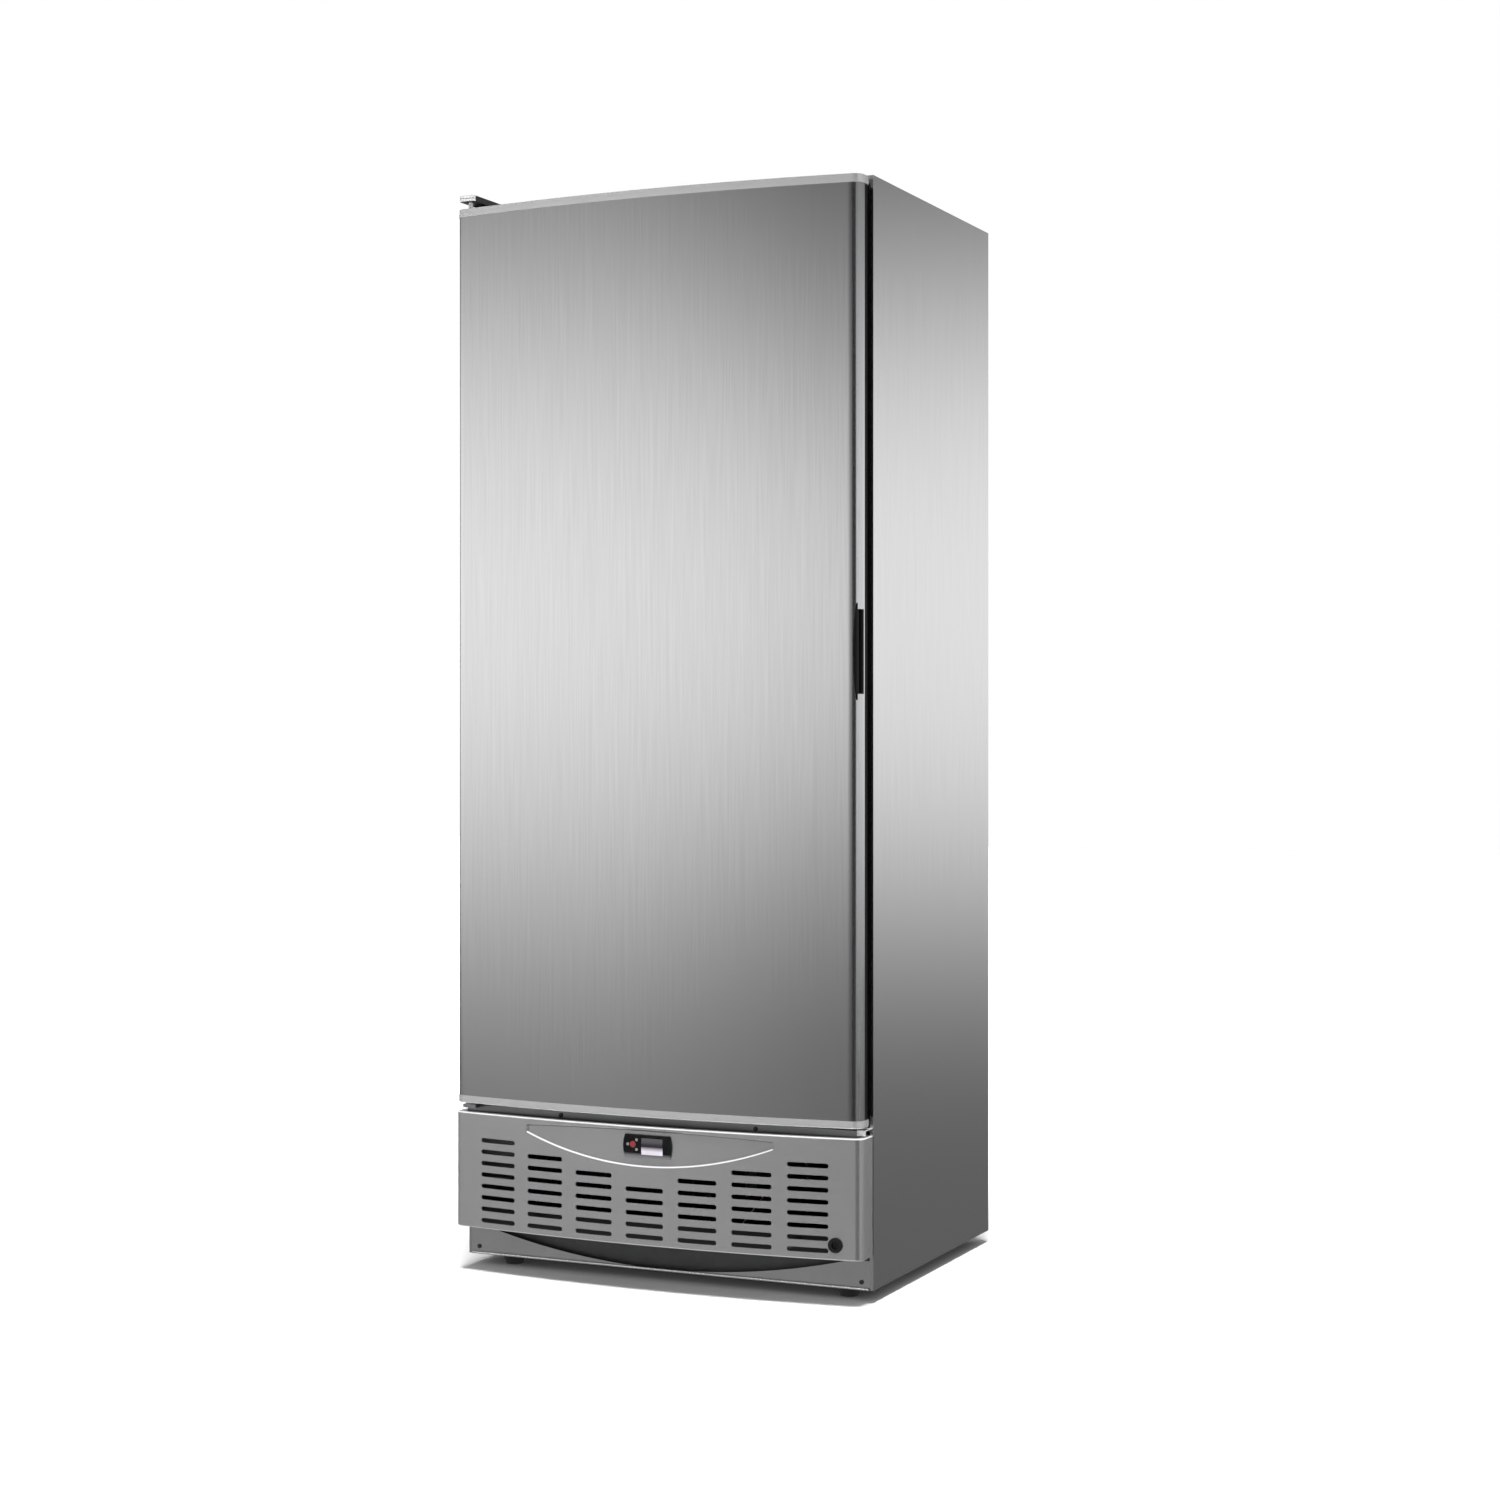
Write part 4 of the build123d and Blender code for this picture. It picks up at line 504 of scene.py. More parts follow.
grille = finishes["grille_silver"]
grille_tree = grille.node_tree
# Painted shadow along the upper bevel of the smile.
paint_over(grille, arc_line(grille_tree, SMILE_HALF, *SMILE_UPPER), "#4a4a4b")
# Painted highlight along the lower bevel of the smile.
paint_over(grille, arc_line(grille_tree, SMILE_HALF, *SMILE_LOWER), "#cfcfcf", 0.4)
# Painted highlight along the grille's top edge.
top_edge_highlight = add(grille_tree, RANGE, {0: object_axes(grille_tree)["Z"],
                                    1: TOP_LINE[0] * MM, 2: TOP_LINE[1] * MM, 4: TOP_LINE_COVER})
paint_over(grille, top_edge_highlight.outputs[0], "#f4f4f4", 0.3)
print("grille nodes:", len(grille_tree.nodes))

# %% [markdown]
# ## Moulded plastics
# Black ABS gets the fine spark grain of its mould, about 0.8 mm here. The inner box is vacuum
# formed white polystyrene, glossier and very slightly wavy, because the sheet cools on the
# mould. Fan blades are nylon filled with glass, which dulls them. The black frames round the
# door and the opening are dull vinyl that hardly mirrors anything.


# %% Plastics
def moulded(name, light, dark, roughness, grain_mm=0.8, grain_depth=0.03, ior=1.53):
    """Moulded plastic with a fine grain and barely uneven colour."""
    material, tree, shader = new_finish(name, light, 0.0, roughness, ior)
    tint(tree, shader, blobs(tree, (35, 35, 35)), dark, light)
    relief(tree, shader, blobs(tree, (grain_mm,) * 3, detail=2.0), grain_depth)
    return material


finishes["black_plastic"] = moulded("black_moulded_abs", "#0b0c0c", "#080909", 0.42)
finishes["dull_black"] = moulded("dull_black_vinyl", "#0c0d0d", "#090a0a", 0.6)
finishes["dull_black"].node_tree.nodes["Principled BSDF"].inputs["Specular IOR Level"].default_value = 0.15
finishes["white_liner"] = moulded("vacuum_formed_white_polystyrene", "#eef0ef", "#e7eae9", 0.28,
                                  grain_mm=60, grain_depth=0.15, ior=1.59)
finishes["fan_plastic"] = moulded("black_glass_filled_nylon", "#1d1e20", "#16171a", 0.5)
finishes["button_grey"] = moulded("grey_key_plastic", "#7f8486", "#75797b", 0.4)
finishes["button_red"] = moulded("red_key_plastic", "#8e2c33", "#7f262d", 0.35)
print("finishes:", len(finishes))

# %% [markdown]
# ## Rubber, gasket vinyl and foam
# Rubber feet are matt and dusty. The gasket is soft grey vinyl with a faint sheen. Rigid foam
# shows only at cut edges and is cream coloured and pitted.


# %% Soft finishes
def rubber(name, light, dark):
    """Matt rubber with dust in soft patches."""
    material, tree, shader = new_finish(name, light, 0.0, 0.72, 1.52)
    tint(tree, shader, blobs(tree, (9, 9, 9), detail=5.0), dark, light)
    relief(tree, shader, blobs(tree, (0.6, 0.6, 0.6)), 0.04)
    return material


def rigid_foam():
    """Cream coloured foam with 1.5 mm pits."""
    material, tree, shader = new_finish("rigid_polyurethane_foam", "#e4d9a8", 0.0, 0.85, 1.5)
    pits = add(tree, "ShaderNodeTexVoronoi", {"Scale": 1.0, "Vector": cells(tree, (1.5, 1.5, 1.5))})
    tint(tree, shader, pits.outputs["Distance"], "#d8cb95", "#eae0b6", 0, 1)
    relief(tree, shader, pits.outputs["Distance"], 0.4)
    return material


finishes["rubber"] = rubber("black_rubber", "#232425", "#1a1b1c")
finishes["foot_black"] = rubber("black_foot_rubber", "#1c1d1e", "#141516")
finishes["gasket"] = rubber("soft_grey_vinyl", "#7d8083", "#75787b")
finishes["foam"] = rigid_foam()
print("finishes:", len(finishes))

# %% [markdown]
# ## Polished controller
# The controller's bezel and window are polished, so a clear coat carries their reflections. Both mirror
# something pale low in front of them: the window is dark on top and pale lilac below, and the bezel has a
# light foot. Nothing pale stands in front of the model, so each piece gets this as a painted reflection
# instead: its colour fades from dark to light down the piece.


# %% Controller finishes
def polished_black(name, colour, roughness):
    """Glossy plastic under a clear coat, with faint smears."""
    material, tree, shader = new_finish(name, colour, 0.0, roughness, 1.49)
    shader.inputs["Coat Weight"].default_value = 0.6
    shader.inputs["Coat Roughness"].default_value = 0.04
    vary_shine(tree, shader, blobs(tree, (14, 14, 30), detail=4.0), roughness - 0.02, roughness + 0.06)
    return material


def paint_reflection_down(material, node, dark, light, start, stop):
    """Paints a reflection: colours a finish from dark to light down a node, between two shares of its height.
    """
    tree = material.node_tree
    shader = next(n for n in tree.nodes if n.type == "BSDF_PRINCIPLED")
    low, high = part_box(node)
    tall = high.z - low.z
    tint(tree, shader, object_axes(tree)["Z"], dark, light, high.z - start * tall, high.z - stop * tall)


finishes["bezel_black"] = polished_black("polished_black_abs", "#0b0c0d", 0.14)
finishes["display"] = polished_black("smoked_acrylic_window", "#101417", 0.07)
# Painted reflection: a light foot on the bezel and pale lilac on the lower part of the window.
paint_reflection_down(finishes["bezel_black"], "controller_housing", "#0b0c0d", "#6f6f72", 0.78, 0.93)
paint_reflection_down(finishes["display"], "display_lens", "#2b272d", "#dcd6e2", 0.5, 0.8)
print("finishes:", len(finishes))

# %% [markdown]
# ## Bare metals
# The side trims are satin anodised aluminium, the evaporator bare aluminium, the pipes copper
# with a little tarnish. Hinge pins and a few small edges are nickel plated. They are small and
# catch light from all sides, so their plating is given only a little of a metal's mirror.


# %% Metals
def satin_metal(name, light, dark, roughness, cell_mm, metallic=1.0):
    """Metal whose colour and shine vary together in cells of this size."""
    material, tree, shader = new_finish(name, light, metallic, roughness)
    drawn = blobs(tree, cell_mm)
    tint(tree, shader, drawn, dark, light)
    vary_shine(tree, shader, drawn, roughness - 0.05, roughness + 0.05)
    return material


def tarnished_copper():
    """Copper pipe with darker stains."""
    material, tree, shader = new_finish("tarnished_copper", "#c98361", 1.0, 0.34)
    tint(tree, shader, blobs(tree, (12, 12, 12), detail=5.0), "#a8684b", "#cf8c68")
    return material


finishes["trim_silver"] = satin_metal("satin_anodised_aluminium", "#bdbebf", "#b7b8b9", 0.2, (1.5, 1.5, 60))
finishes["bright_nickel"] = satin_metal("bright_nickel_plate", "#f2f2f2", "#e8e8e8", 0.25, (5, 5, 5), 0.3)
finishes["aluminium"] = satin_metal("bare_aluminium_sheet", "#cdd0d2", "#b9bdc0", 0.4, (5, 5, 5))
finishes["copper"] = tarnished_copper()
print("finishes:", len(finishes))

# %% [markdown]
# ## Paint and coatings
# Compressor and condenser are enamelled. The dark plate behind the air opening and the motors are painted,
# the screws blackened, and the shelf wires have a thick white coating. The sheets of the machine bay are near
# black, as painted shade that keeps the bay dark behind the slots. All of them are glossy skins on steel with
# the slight ripple called orange peel.


# %% Coatings
def enamel(name, light, dark, roughness):
    """Baked enamel on steel."""
    material, tree, shader = new_finish(name, light, 0.0, roughness, 1.5)
    tint(tree, shader, blobs(tree, (25, 25, 25)), dark, light)
    relief(tree, shader, blobs(tree, (2.5, 2.5, 2.5), detail=1.0), 0.05)
    shader.inputs["Coat Weight"].default_value = 0.3
    shader.inputs["Coat Roughness"].default_value = 0.15
    return material


finishes["black_enamel"] = enamel("black_baked_enamel", "#141516", "#0f1011", 0.3)
finishes["dark_sheet"] = enamel("dark_grey_painted_sheet", "#3a3b3c", "#333435", 0.5)
# Painted shade: the machine bay's sheets are near black so that the bay stays dark behind the slots.
finishes["bay_shade_black"] = enamel("bay_sheet_painted_shade", "#0d0d0e", "#0a0a0b", 0.6)
finishes["motor_grey"] = enamel("grey_motor_paint", "#6d7174", "#65696c", 0.45)
finishes["screw_black"] = enamel("black_screw_coating", "#2a2b2d", "#1f2022", 0.4)
finishes["white_wire"] = enamel("white_wire_coating", "#eceeed", "#e4e6e5", 0.3)
print("finishes:", len(finishes))

# %% Matt white for the floor
floor_finish, _, floor_shader = new_finish("white_studio_floor", "#ffffff", 0.0, 1.0, 1.4)
floor_shader.inputs["Specular IOR Level"].default_value = 0.0
floor_mesh.materials.append(floor_finish)
print("floor finish:", floor_finish.name)

# %% [markdown]
# ## Give every CAD node its finish
# Each node comes in with one material slot, named by the CAD record. The slot stays and only
# its material changes, so the record and the picture agree. A few nodes share a slot but not
# a look, such as the roof and the side panels, so they are listed with a finish of their own.

# %% Finishes onto the nodes
# The hinge rail takes the darker steel as painted shade.
OWN_FINISH = {"top_panel": "roof_steel", "hinge_rail": "shaded_rail_steel", "kick_plate": "kick_steel",
              "top_hinge_bracket": "black_plastic", "hinge_pins": "bright_nickel",
              "door_frame": "dull_black", "front_frame": "dull_black",
              # Tray, bay ceiling and fan shroud take near black as painted shade.
              "base_tray": "bay_shade_black", "bay_ceiling": "bay_shade_black", "fan_shroud": "bay_shade_black"}
for name, node in nodes.items():
    for place in node.material_slots:
        place.material = finishes[OWN_FINISH.get(name, place.material.name.split(".")[0])]
print("nodes with a finish:", sum(1 for n in nodes.values() if n.material_slots))

# %% [markdown]
# ## Helpers for new pieces
# Every new piece starts as an empty bmesh, takes its shape from bmesh operators, and becomes
# an object at the origin, so that its own coordinates are the CAD frame's. It then rides on
# the body that carries it, and may stand in for the plain CAD node of the same thing.

# %% Piece helpers
MERGE = 0.01 * MM
SHARP = math.radians(35)
SHARP_BEVEL = math.radians(30)


def finish_piece(shape, name, slot, body, instead_of=(), finish=None):
    """Turns a bmesh into an object that rides on a body and stands for CAD nodes."""
    bmesh.ops.remove_doubles(shape, verts=shape.verts, dist=MERGE)
    bmesh.ops.recalc_face_normals(shape, faces=shape.faces)
    mesh = bpy.data.meshes.new(name)
    shape.to_mesh(mesh)
    shape.free()
    mesh.materials.append(finishes[finish or slot])
    piece = bpy.data.objects.new(name, mesh)
    bpy.context.scene.collection.objects.link(piece)
    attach(piece, body)
    if instead_of:
        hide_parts(*instead_of)
    print(name, "faces:", len(mesh.polygons), "on", body)
    return piece


def round_edges(piece, width_mm, segments=2):
    """Live bevel on the sharp edges."""
    bevel = piece.modifiers.new("rounding", "BEVEL")
    bevel.width = width_mm * MM
    bevel.segments = segments
    bevel.limit_method = "ANGLE"
    bevel.angle_limit = SHARP_BEVEL


def smooth(piece):
    """Smooth shading that keeps the sharp edges."""
    piece.data.shade_smooth()
    piece.data.set_sharp_from_angle(angle=SHARP)


def new_verts(made):
    """The vertices among what an operator made."""
    return [g for g in made if isinstance(g, bmesh.types.BMVert)]


print("edges stay sharp above", round(math.degrees(SHARP)), "degrees")

# %% [markdown]
# ## Door gasket
# A freezer's gasket is an extruded vinyl tube welded to a frame: a flat foot that sits in the
# door, a folded bellows, and a head that holds the magnet. The section is the same all round
# with mitred corners, so each corner of the section becomes one rectangular loop, and bridging
# the loops makes the skin.

# %% Gasket section
GASKET_WIDTH = 22 * MM
# Half of the section, in millimetres: in from the outer edge, and out from the door.
GASKET_FOLDS = ((1.0, 0.0), (0.0, 1.0), (0.0, 2.2), (3.0, 2.7), (3.0, 4.0), (1.2, 5.2), (1.2, 6.2),
                (3.5, 7.1), (3.5, 10.8), (4.4, 11.7))
section = [(u * MM, v * MM) for u, v in GASKET_FOLDS]
section += [(GASKET_WIDTH - u, v) for u, v in reversed(section)]
print("gasket section points:", len(section))


# %% Gasket body
def rectangle_loop(shape, low, high, inset, y):
    """Four corners and four edges of a rectangle in the XZ plane."""
    corners = [shape.verts.new((x, y, z)) for x, z in (
        (low.x + inset, low.z + inset), (high.x - inset, low.z + inset),
        (high.x - inset, high.z - inset), (low.x + inset, high.z - inset))]
    return [shape.edges.new((corners[i], corners[(i + 1) % 4])) for i in range(4)]


gasket_low, gasket_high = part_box("door_gasket")
shape = bmesh.new()
loops = [rectangle_loop(shape, gasket_low, gasket_high, u, gasket_low.y + v) for u, v in section]
for first, second in zip(loops, loops[1:] + loops[:1]):
    bmesh.ops.bridge_loops(shape, edges=first + second)
gasket = finish_piece(shape, "folded_door_gasket", "gasket", "door", ["door_gasket"])
round_edges(gasket, 0.3, segments=1)
print("gasket depth mm:", round((gasket_high.y - gasket_low.y) / MM, 1))

# %% [markdown]
# ## Wire shelves
# Each shelf is an 8 mm rod bent into a rectangle, three cross rods, and 5 mm wires welded on
# top, all coated white. A straight wire is a capped cylinder. The bent frame is one ring of
# edges that is pushed along each side and spun a quarter turn at each corner.

# %% Rods and bent rods
WIRE = 5 * MM
ROD = 8 * MM
WIRE_SIDES = 10
CORNER_RADIUS = 14 * MM
CORNER_STEPS = 5
QUARTER = math.radians(90)


def straight_rod(shape, start, end, diameter, sides=WIRE_SIDES):
    """A capped cylinder between two points."""
    start, end = Vector(start), Vector(end)
    way = end - start
    place = Matrix.Translation((start + end) / 2) @ way.to_track_quat("Z", "Y").to_matrix().to_4x4()
    bmesh.ops.create_cone(shape, cap_ends=True, segments=sides, radius1=diameter / 2, radius2=diameter / 2,
                          depth=way.length, matrix=place)


def is_ring_edge(edge, made):
    """True for an edge between two of the vertices that were just made."""
    return all(v in made for v in edge.verts)


def bent_frame(shape, low, high, z, diameter, corner=CORNER_RADIUS):
    """A closed rectangular rod with rounded corners, centred in the height z."""
    inner = [Vector((high.x - corner, high.y - corner, z)), Vector((low.x + corner, high.y - corner, z)),
             Vector((low.x + corner, low.y + corner, z)), Vector((high.x - corner, low.y + corner, z))]
    start = Matrix.Translation((high.x, low.y + corner, z)) @ Matrix.Rotation(QUARTER, 4, "X")
    ring = bmesh.ops.create_circle(shape, segments=WIRE_SIDES, radius=diameter / 2, matrix=start)["verts"]
    edges = list({e for v in ring for e in v.link_edges})
    sides = (inner[0] - inner[3], inner[1] - inner[0], inner[2] - inner[1], inner[3] - inner[2])
    for centre, side in zip(inner, sides):
        pushed = bmesh.ops.extrude_edge_only(shape, edges=edges)["geom"]
        moved = new_verts(pushed)
        bmesh.ops.translate(shape, vec=side, verts=moved)
        edges = [g for g in pushed if isinstance(g, bmesh.types.BMEdge) and is_ring_edge(g, moved)]
        turned = bmesh.ops.spin(shape, geom=edges, cent=centre, axis=(0, 0, 1), angle=QUARTER,
                                steps=CORNER_STEPS)["geom_last"]
        edges = [g for g in turned if isinstance(g, bmesh.types.BMEdge)]


print("rods:", WIRE_SIDES, "sides, corners of", CORNER_STEPS, "steps")

# %% Shelves
WIRE_PITCH = 36 * MM
CROSS_ROD_INSET = 60 * MM


def wire_shelf(number):
    """One shelf in the place of its plain CAD node."""
    node = f"wire_shelf_{number}"
    low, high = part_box(node)
    half = ROD / 2
    shape = bmesh.new()
    rim_low, rim_high = low + Vector((half, half, 0)), high - Vector((half, half, 0))
    bent_frame(shape, rim_low, rim_high, low.z + half, ROD)
    middle = (low.y + high.y) / 2
    cross_z = high.z - WIRE * 1.25
    for y in (low.y + CROSS_ROD_INSET, middle, high.y - CROSS_ROD_INSET):
        straight_rod(shape, (rim_low.x, y, cross_z), (rim_high.x, y, cross_z), WIRE)
    count = int((high.x - low.x - 2 * ROD) / WIRE_PITCH)
    first = -count * WIRE_PITCH / 2
    for n in range(count + 1):
        x = first + n * WIRE_PITCH
        straight_rod(shape, (x, low.y + half, high.z - WIRE / 2), (x, high.y - half, high.z - WIRE / 2), WIRE)
    smooth(finish_piece(shape, f"round_wire_shelf_{number}", "white_wire", "cabinet", [node]))


shelf_nodes = [n for n in nodes if n.startswith("wire_shelf_")]
for number in range(1, len(shelf_nodes) + 1):
    wire_shelf(number)

# %% [markdown]
# ## Screws
# The kick plate and the hinge rail are held by black pan head screws. A head is a short
# cylinder with a rounded rim, and its cross recess is the inset top face pulled into a
# four-armed star and pushed in.

# %% Pan head screw
SCREW_SIDES = 32
RIM_ROUNDING = 0.45
RECESS_INSET = 0.12
RECESS_WIDE = 0.52
RECESS_NARROW = 0.2
RECESS_ARM = 16
RECESS_DEPTH = 1.2 * MM
DEEPEST_RECESS = 0.6


def flat_top(verts):
    """The highest of the faces round some vertices."""
    return max({f for v in verts for f in v.link_faces}, key=lambda f: f.calc_center_median().z)


def pan_head(shape, centre, out, diameter, height):
    """A cross recess screw head whose seat is at the centre and whose top faces out."""
    turn_out = Vector(out).to_track_quat("Z", "Y").to_matrix().to_4x4()
    before = set(shape.verts)
    bmesh.ops.create_cone(shape, cap_ends=True, segments=SCREW_SIDES, radius1=diameter / 2,
                          radius2=diameter / 2, depth=height, matrix=Matrix.Translation((0, 0, height / 2)))
    top = flat_top([v for v in shape.verts if v not in before])
    bmesh.ops.bevel(shape, geom=list(top.edges), offset=height * RIM_ROUNDING, affect="EDGES",
                    segments=3, profile=0.5, material=-1)
    top = flat_top([v for v in shape.verts if v not in before])
    bmesh.ops.inset_region(shape, faces=[top], thickness=diameter * RECESS_INSET, use_even_offset=True)
    for v in top.verts:
        angle = math.degrees(math.atan2(v.co.y, v.co.x)) % 90
        arm = min(angle, 90 - angle) < RECESS_ARM
        reach = diameter / 2 * (RECESS_WIDE if arm else RECESS_NARROW)
        v.co.xy = v.co.xy.normalized() * reach
    pushed = bmesh.ops.extrude_discrete_faces(shape, faces=[top])["faces"][0]
    bmesh.ops.translate(shape, vec=(0, 0, -min(RECESS_DEPTH, height * DEEPEST_RECESS)), verts=pushed.verts)
    made = [v for v in shape.verts if v not in before]
    bmesh.ops.transform(shape, matrix=Matrix.Translation(centre) @ turn_out, verts=made)


print("recess arms reach", RECESS_WIDE, "of a head's radius")

# %% Screws on the kick plate and the hinge rail
SCREW_DIAMETER = 8 * MM
SCREW_HEIGHT = 2 * MM
KICK_SCREW_RISE = 13 * MM
RAIL_SCREW_X = 186 * MM
_, screw_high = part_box("screws")
kick_low, kick_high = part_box("kick_plate")
rail_low, rail_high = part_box("hinge_rail")
kick_x = screw_high.x - SCREW_DIAMETER / 2
shape = bmesh.new()
for side in (-1, 1):
    pan_head(shape, (side * kick_x, screw_high.y, kick_low.z + KICK_SCREW_RISE), (0, -1, 0),
             SCREW_DIAMETER, SCREW_HEIGHT)
    pan_head(shape, (side * RAIL_SCREW_X, rail_low.y, rail_high.z - SCREW_DIAMETER), (0, -1, 0),
             SCREW_DIAMETER, SCREW_HEIGHT)
smooth(finish_piece(shape, "pan_head_screws", "screw_black", "cabinet", ["screws"]))

# %% [markdown]
# ## Rolled edge of the kick plate
# The lower edge of the kick plate is rolled over, and its bright line runs the whole width. A
# thin rod along the edge, sunk almost half into the sheet, gives that line.

# %% Kick plate edge
EDGE_ROD = 2.4 * MM
EDGE_RISE = 2.6 * MM
EDGE_SIDES = 12
edge_y = kick_low.y + EDGE_ROD * 0.1
edge_z = kick_low.z + EDGE_RISE
shape = bmesh.new()
straight_rod(shape, (kick_low.x + EDGE_ROD, edge_y, edge_z), (kick_high.x - EDGE_ROD, edge_y, edge_z),
             EDGE_ROD, EDGE_SIDES)
smooth(finish_piece(shape, "rolled_kick_edge", "zinc", "cabinet", finish="bright_nickel"))

# %% [markdown]
# ## Nose of the top hinge
# The hinge arm on the roof is a black cover over a plated steel strap. Only the strap's end
# shows, as two bright ribs across the front. Each rib is one strip of the chamfered front,
# pushed out by its thickness and given its height.

# %% Hinge nose
NOSE_THICK = 0.8 * MM
NOSE_CHAMFER = 4.0 * MM
NOSE_BACK = 1.0 * MM
NOSE_SLANT = 0.4
NOSE_RIBS = ((0.4, 4.8), (5.8, 10.1))
arm_low, arm_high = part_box("top_hinge_bracket")


def front_strip(shape, low_z, high_z):
    """A thin strip that follows the arm's chamfered front between two heights."""
    left, right, front = arm_low.x, arm_high.x, arm_low.y
    back = front + NOSE_CHAMFER + NOSE_BACK
    inner = [(left, back), (left, back - NOSE_BACK), (left + NOSE_CHAMFER, front),
             (right - NOSE_CHAMFER, front), (right, back - NOSE_BACK), (right, back)]
    moves = [(-1, 0), (-1, -NOSE_SLANT), (-NOSE_SLANT, -1), (NOSE_SLANT, -1), (1, -NOSE_SLANT), (1, 0)]
    outer = [(x + NOSE_THICK * dx, y + NOSE_THICK * dy) for (x, y), (dx, dy) in zip(inner, moves)]
    face = shape.faces.new([shape.verts.new((x, y, low_z)) for x, y in inner + outer[::-1]])
    pushed = bmesh.ops.extrude_face_region(shape, geom=[face])["geom"]
    bmesh.ops.translate(shape, vec=(0, 0, high_z - low_z), verts=new_verts(pushed))


shape = bmesh.new()
for low_rib, high_rib in NOSE_RIBS:
    front_strip(shape, arm_high.z - high_rib * MM, arm_high.z - low_rib * MM)
hinge_nose = finish_piece(shape, "top_hinge_nose", "zinc", "cabinet", finish="bright_nickel")
round_edges(hinge_nose, 0.2, segments=2)

# %% [markdown]
# ## Plated end of the hinge rail
# At the free end of the rail a small plated angle closes the channel. It shows as a bright
# sliver in the gap between door and grille. It starts as one face that is extruded and bevelled.

# %% Rail end
END_INSET = 1.5 * MM
END_WIDE = 17 * MM
END_SHEET = 1.2 * MM
END_LIFT = 0.3 * MM
END_DEPTH = 8 * MM
panel_low, panel_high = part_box("right_side_panel")


def folded_angle(shape, low, high, sheet):
    """A top plate with its front flange folded down, as one closed section pushed along X."""
    section = [(low.y, low.z), (low.y, high.z), (high.y, high.z), (high.y, high.z - sheet),
               (low.y + sheet, high.z - sheet), (low.y + sheet, low.z)]
    face = shape.faces.new([shape.verts.new((low.x, y, z)) for y, z in section])
    pushed = bmesh.ops.extrude_face_region(shape, geom=[face])["geom"]
    bmesh.ops.translate(shape, vec=(high.x - low.x, 0, 0), verts=new_verts(pushed))


shape = bmesh.new()
end_low = Vector((panel_high.x - END_WIDE, rail_low.y - END_SHEET - END_LIFT, rail_high.z - END_DEPTH))
end_high = Vector((panel_high.x - END_INSET, panel_low.y - END_LIFT, rail_high.z + END_SHEET + END_LIFT))
folded_angle(shape, end_low, end_high, END_SHEET)
rail_end = finish_piece(shape, "plated_rail_end", "zinc", "cabinet", finish="bright_nickel")
round_edges(rail_end, 0.3, segments=2)

# %% [markdown]
# ## Rear of the cabinet
# The back panel and the bay cover are screwed to the side panels' returns, and a grid of wires
# guards the outlet of the warm air.

# %% Rear screws
REAR_SCREW = 7 * MM
REAR_SCREW_HEIGHT = 1.6 * MM
REAR_SCREW_ROWS = 7
REAR_SCREW_END = 30 * MM
REAR_RETURN = 7.5 * MM
rear_y = panel_high.y
first_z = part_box("bay_rear_cover")[0].z + REAR_SCREW_END
last_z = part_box("back_panel")[1].z - REAR_SCREW_END
shape = bmesh.new()
for side in (-1, 1):
    for n in range(REAR_SCREW_ROWS):
        z = first_z + (last_z - first_z) * n / (REAR_SCREW_ROWS - 1)
        pan_head(shape, (side * (panel_high.x - REAR_RETURN), rear_y, z), (0, 1, 0),
                 REAR_SCREW, REAR_SCREW_HEIGHT)
smooth(finish_piece(shape, "rear_panel_screws", "zinc", "cabinet"))

# %% Outlet guard
OUTLET_X = (-340 * MM, -160 * MM)
OUTLET_Z = (95.5 * MM, 244 * MM)
OUTLET_WIRE = 2.5 * MM
OUTLET_PITCH = 14 * MM
OUTLET_LAP = 6 * MM
OUTLET_CROSS = 20 * MM
COVER_SHEET = 1.2 * MM
GUARD_GAP = 0.1 * MM
GUARD_WELD = 0.8
GUARD_SIDES = 8
y = rear_y - COVER_SHEET - OUTLET_WIRE / 2 - GUARD_GAP
cross_y = y - OUTLET_WIRE * GUARD_WELD
count = int((OUTLET_X[1] - OUTLET_X[0]) / OUTLET_PITCH)
middle = (OUTLET_X[0] + OUTLET_X[1]) / 2
shape = bmesh.new()
for n in range(count + 1):
    x = middle + (n - count / 2) * OUTLET_PITCH
    straight_rod(shape, (x, y, OUTLET_Z[0] - OUTLET_LAP), (x, y, OUTLET_Z[1] + OUTLET_LAP),
                 OUTLET_WIRE, GUARD_SIDES)
for z in (OUTLET_Z[0] + OUTLET_CROSS, OUTLET_Z[1] - OUTLET_CROSS):
    straight_rod(shape, (OUTLET_X[0] - OUTLET_LAP, cross_y, z), (OUTLET_X[1] + OUTLET_LAP, cross_y, z),
                 OUTLET_WIRE, GUARD_SIDES)
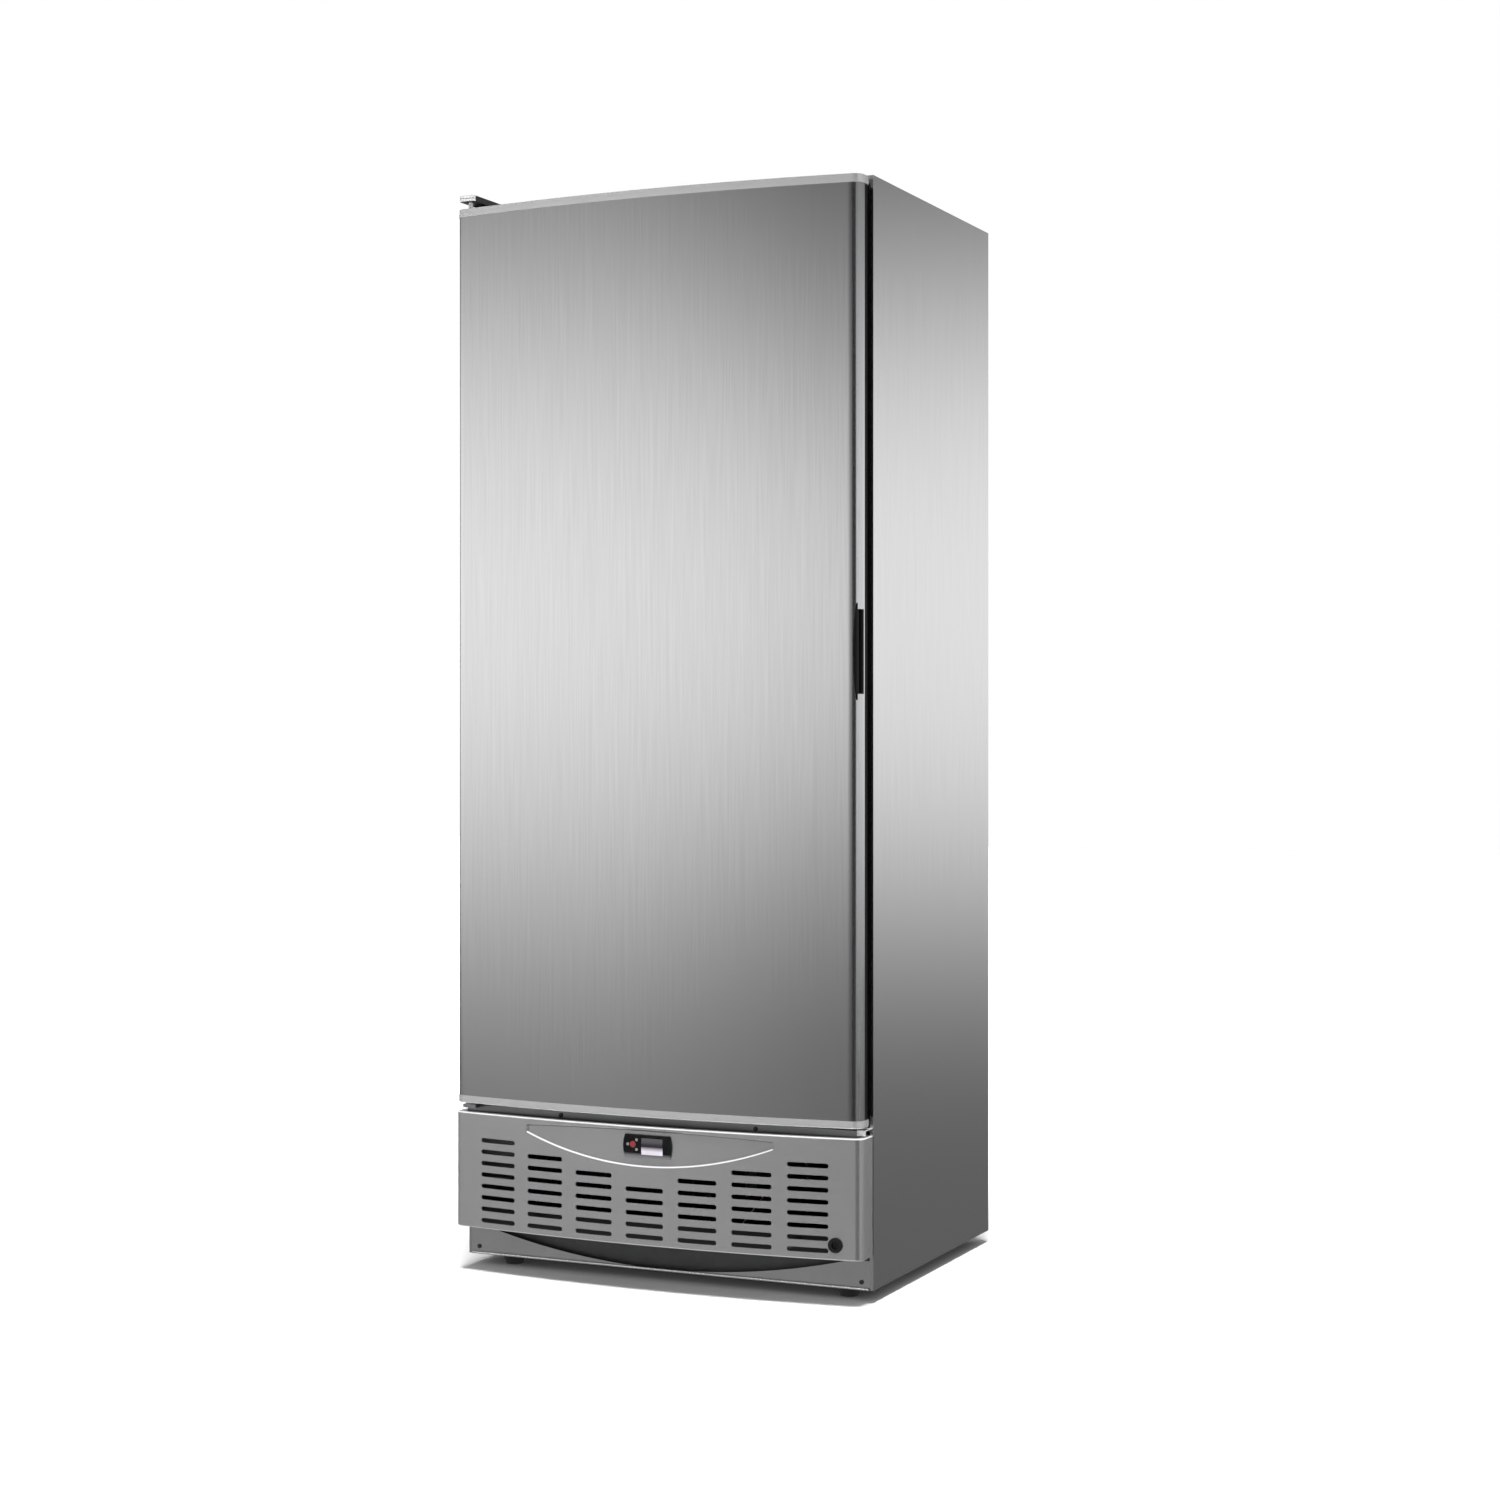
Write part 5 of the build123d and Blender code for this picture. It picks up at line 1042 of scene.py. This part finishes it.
smooth(finish_piece(shape, "outlet_wire_guard", "screw_black", "cabinet"))

# %% [markdown]
# ## Finger guard
# The fan in the cold box sits behind a wire guard on the evaporator cover: six rings of wire
# on four straight spokes. Each ring is a circle of edges spun once round the fan's axis.

# %% Fan guard
GUARD_WIRE = 2.4 * MM
GUARD_RINGS = 6
GUARD_STEPS = 48
GUARD_SPOKES = 4
GUARD_OUTER = 81 * MM
GUARD_INNER = 14 * MM
GUARD_SINK = 1.4 * MM


def ring_of_wire(shape, centre, radius, diameter):
    """A torus round an axis along Y."""
    start = Matrix.Translation(centre + Vector((radius, 0, 0)))
    ring = bmesh.ops.create_circle(shape, segments=GUARD_SIDES, radius=diameter / 2, matrix=start)["verts"]
    edges = list({e for v in ring for e in v.link_edges})
    bmesh.ops.spin(shape, geom=edges, cent=centre, axis=(0, 1, 0), angle=math.tau, steps=GUARD_STEPS,
                   use_merge=True)


blade_low, blade_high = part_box("evaporator_fan_blade")
hood_low, hood_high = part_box("evaporator_cover")
centre = Vector(((blade_low.x + blade_high.x) / 2, hood_low.y + GUARD_SINK, (hood_low.z + hood_high.z) / 2))
behind = centre + Vector((0, GUARD_WIRE * GUARD_WELD, 0))
shape = bmesh.new()
for n in range(GUARD_RINGS):
    share = n / (GUARD_RINGS - 1)
    ring_of_wire(shape, centre, GUARD_INNER + (GUARD_OUTER - GUARD_INNER) * share, GUARD_WIRE)
for n in range(GUARD_SPOKES):
    turned = math.tau * (n + 0.5) / GUARD_SPOKES
    way = Vector((math.cos(turned), 0, math.sin(turned)))
    straight_rod(shape, behind + way * GUARD_INNER, behind + way * GUARD_OUTER, GUARD_WIRE, GUARD_SIDES)
smooth(finish_piece(shape, "cold_fan_guard", "white_wire", "cabinet"))

# %% [markdown]
# ## The view transform
# The Standard view transform shows the colours as they were picked.

# %% View transform
bpy.context.scene.view_settings.view_transform = "Standard"
print("view transform:", bpy.context.scene.view_settings.view_transform)
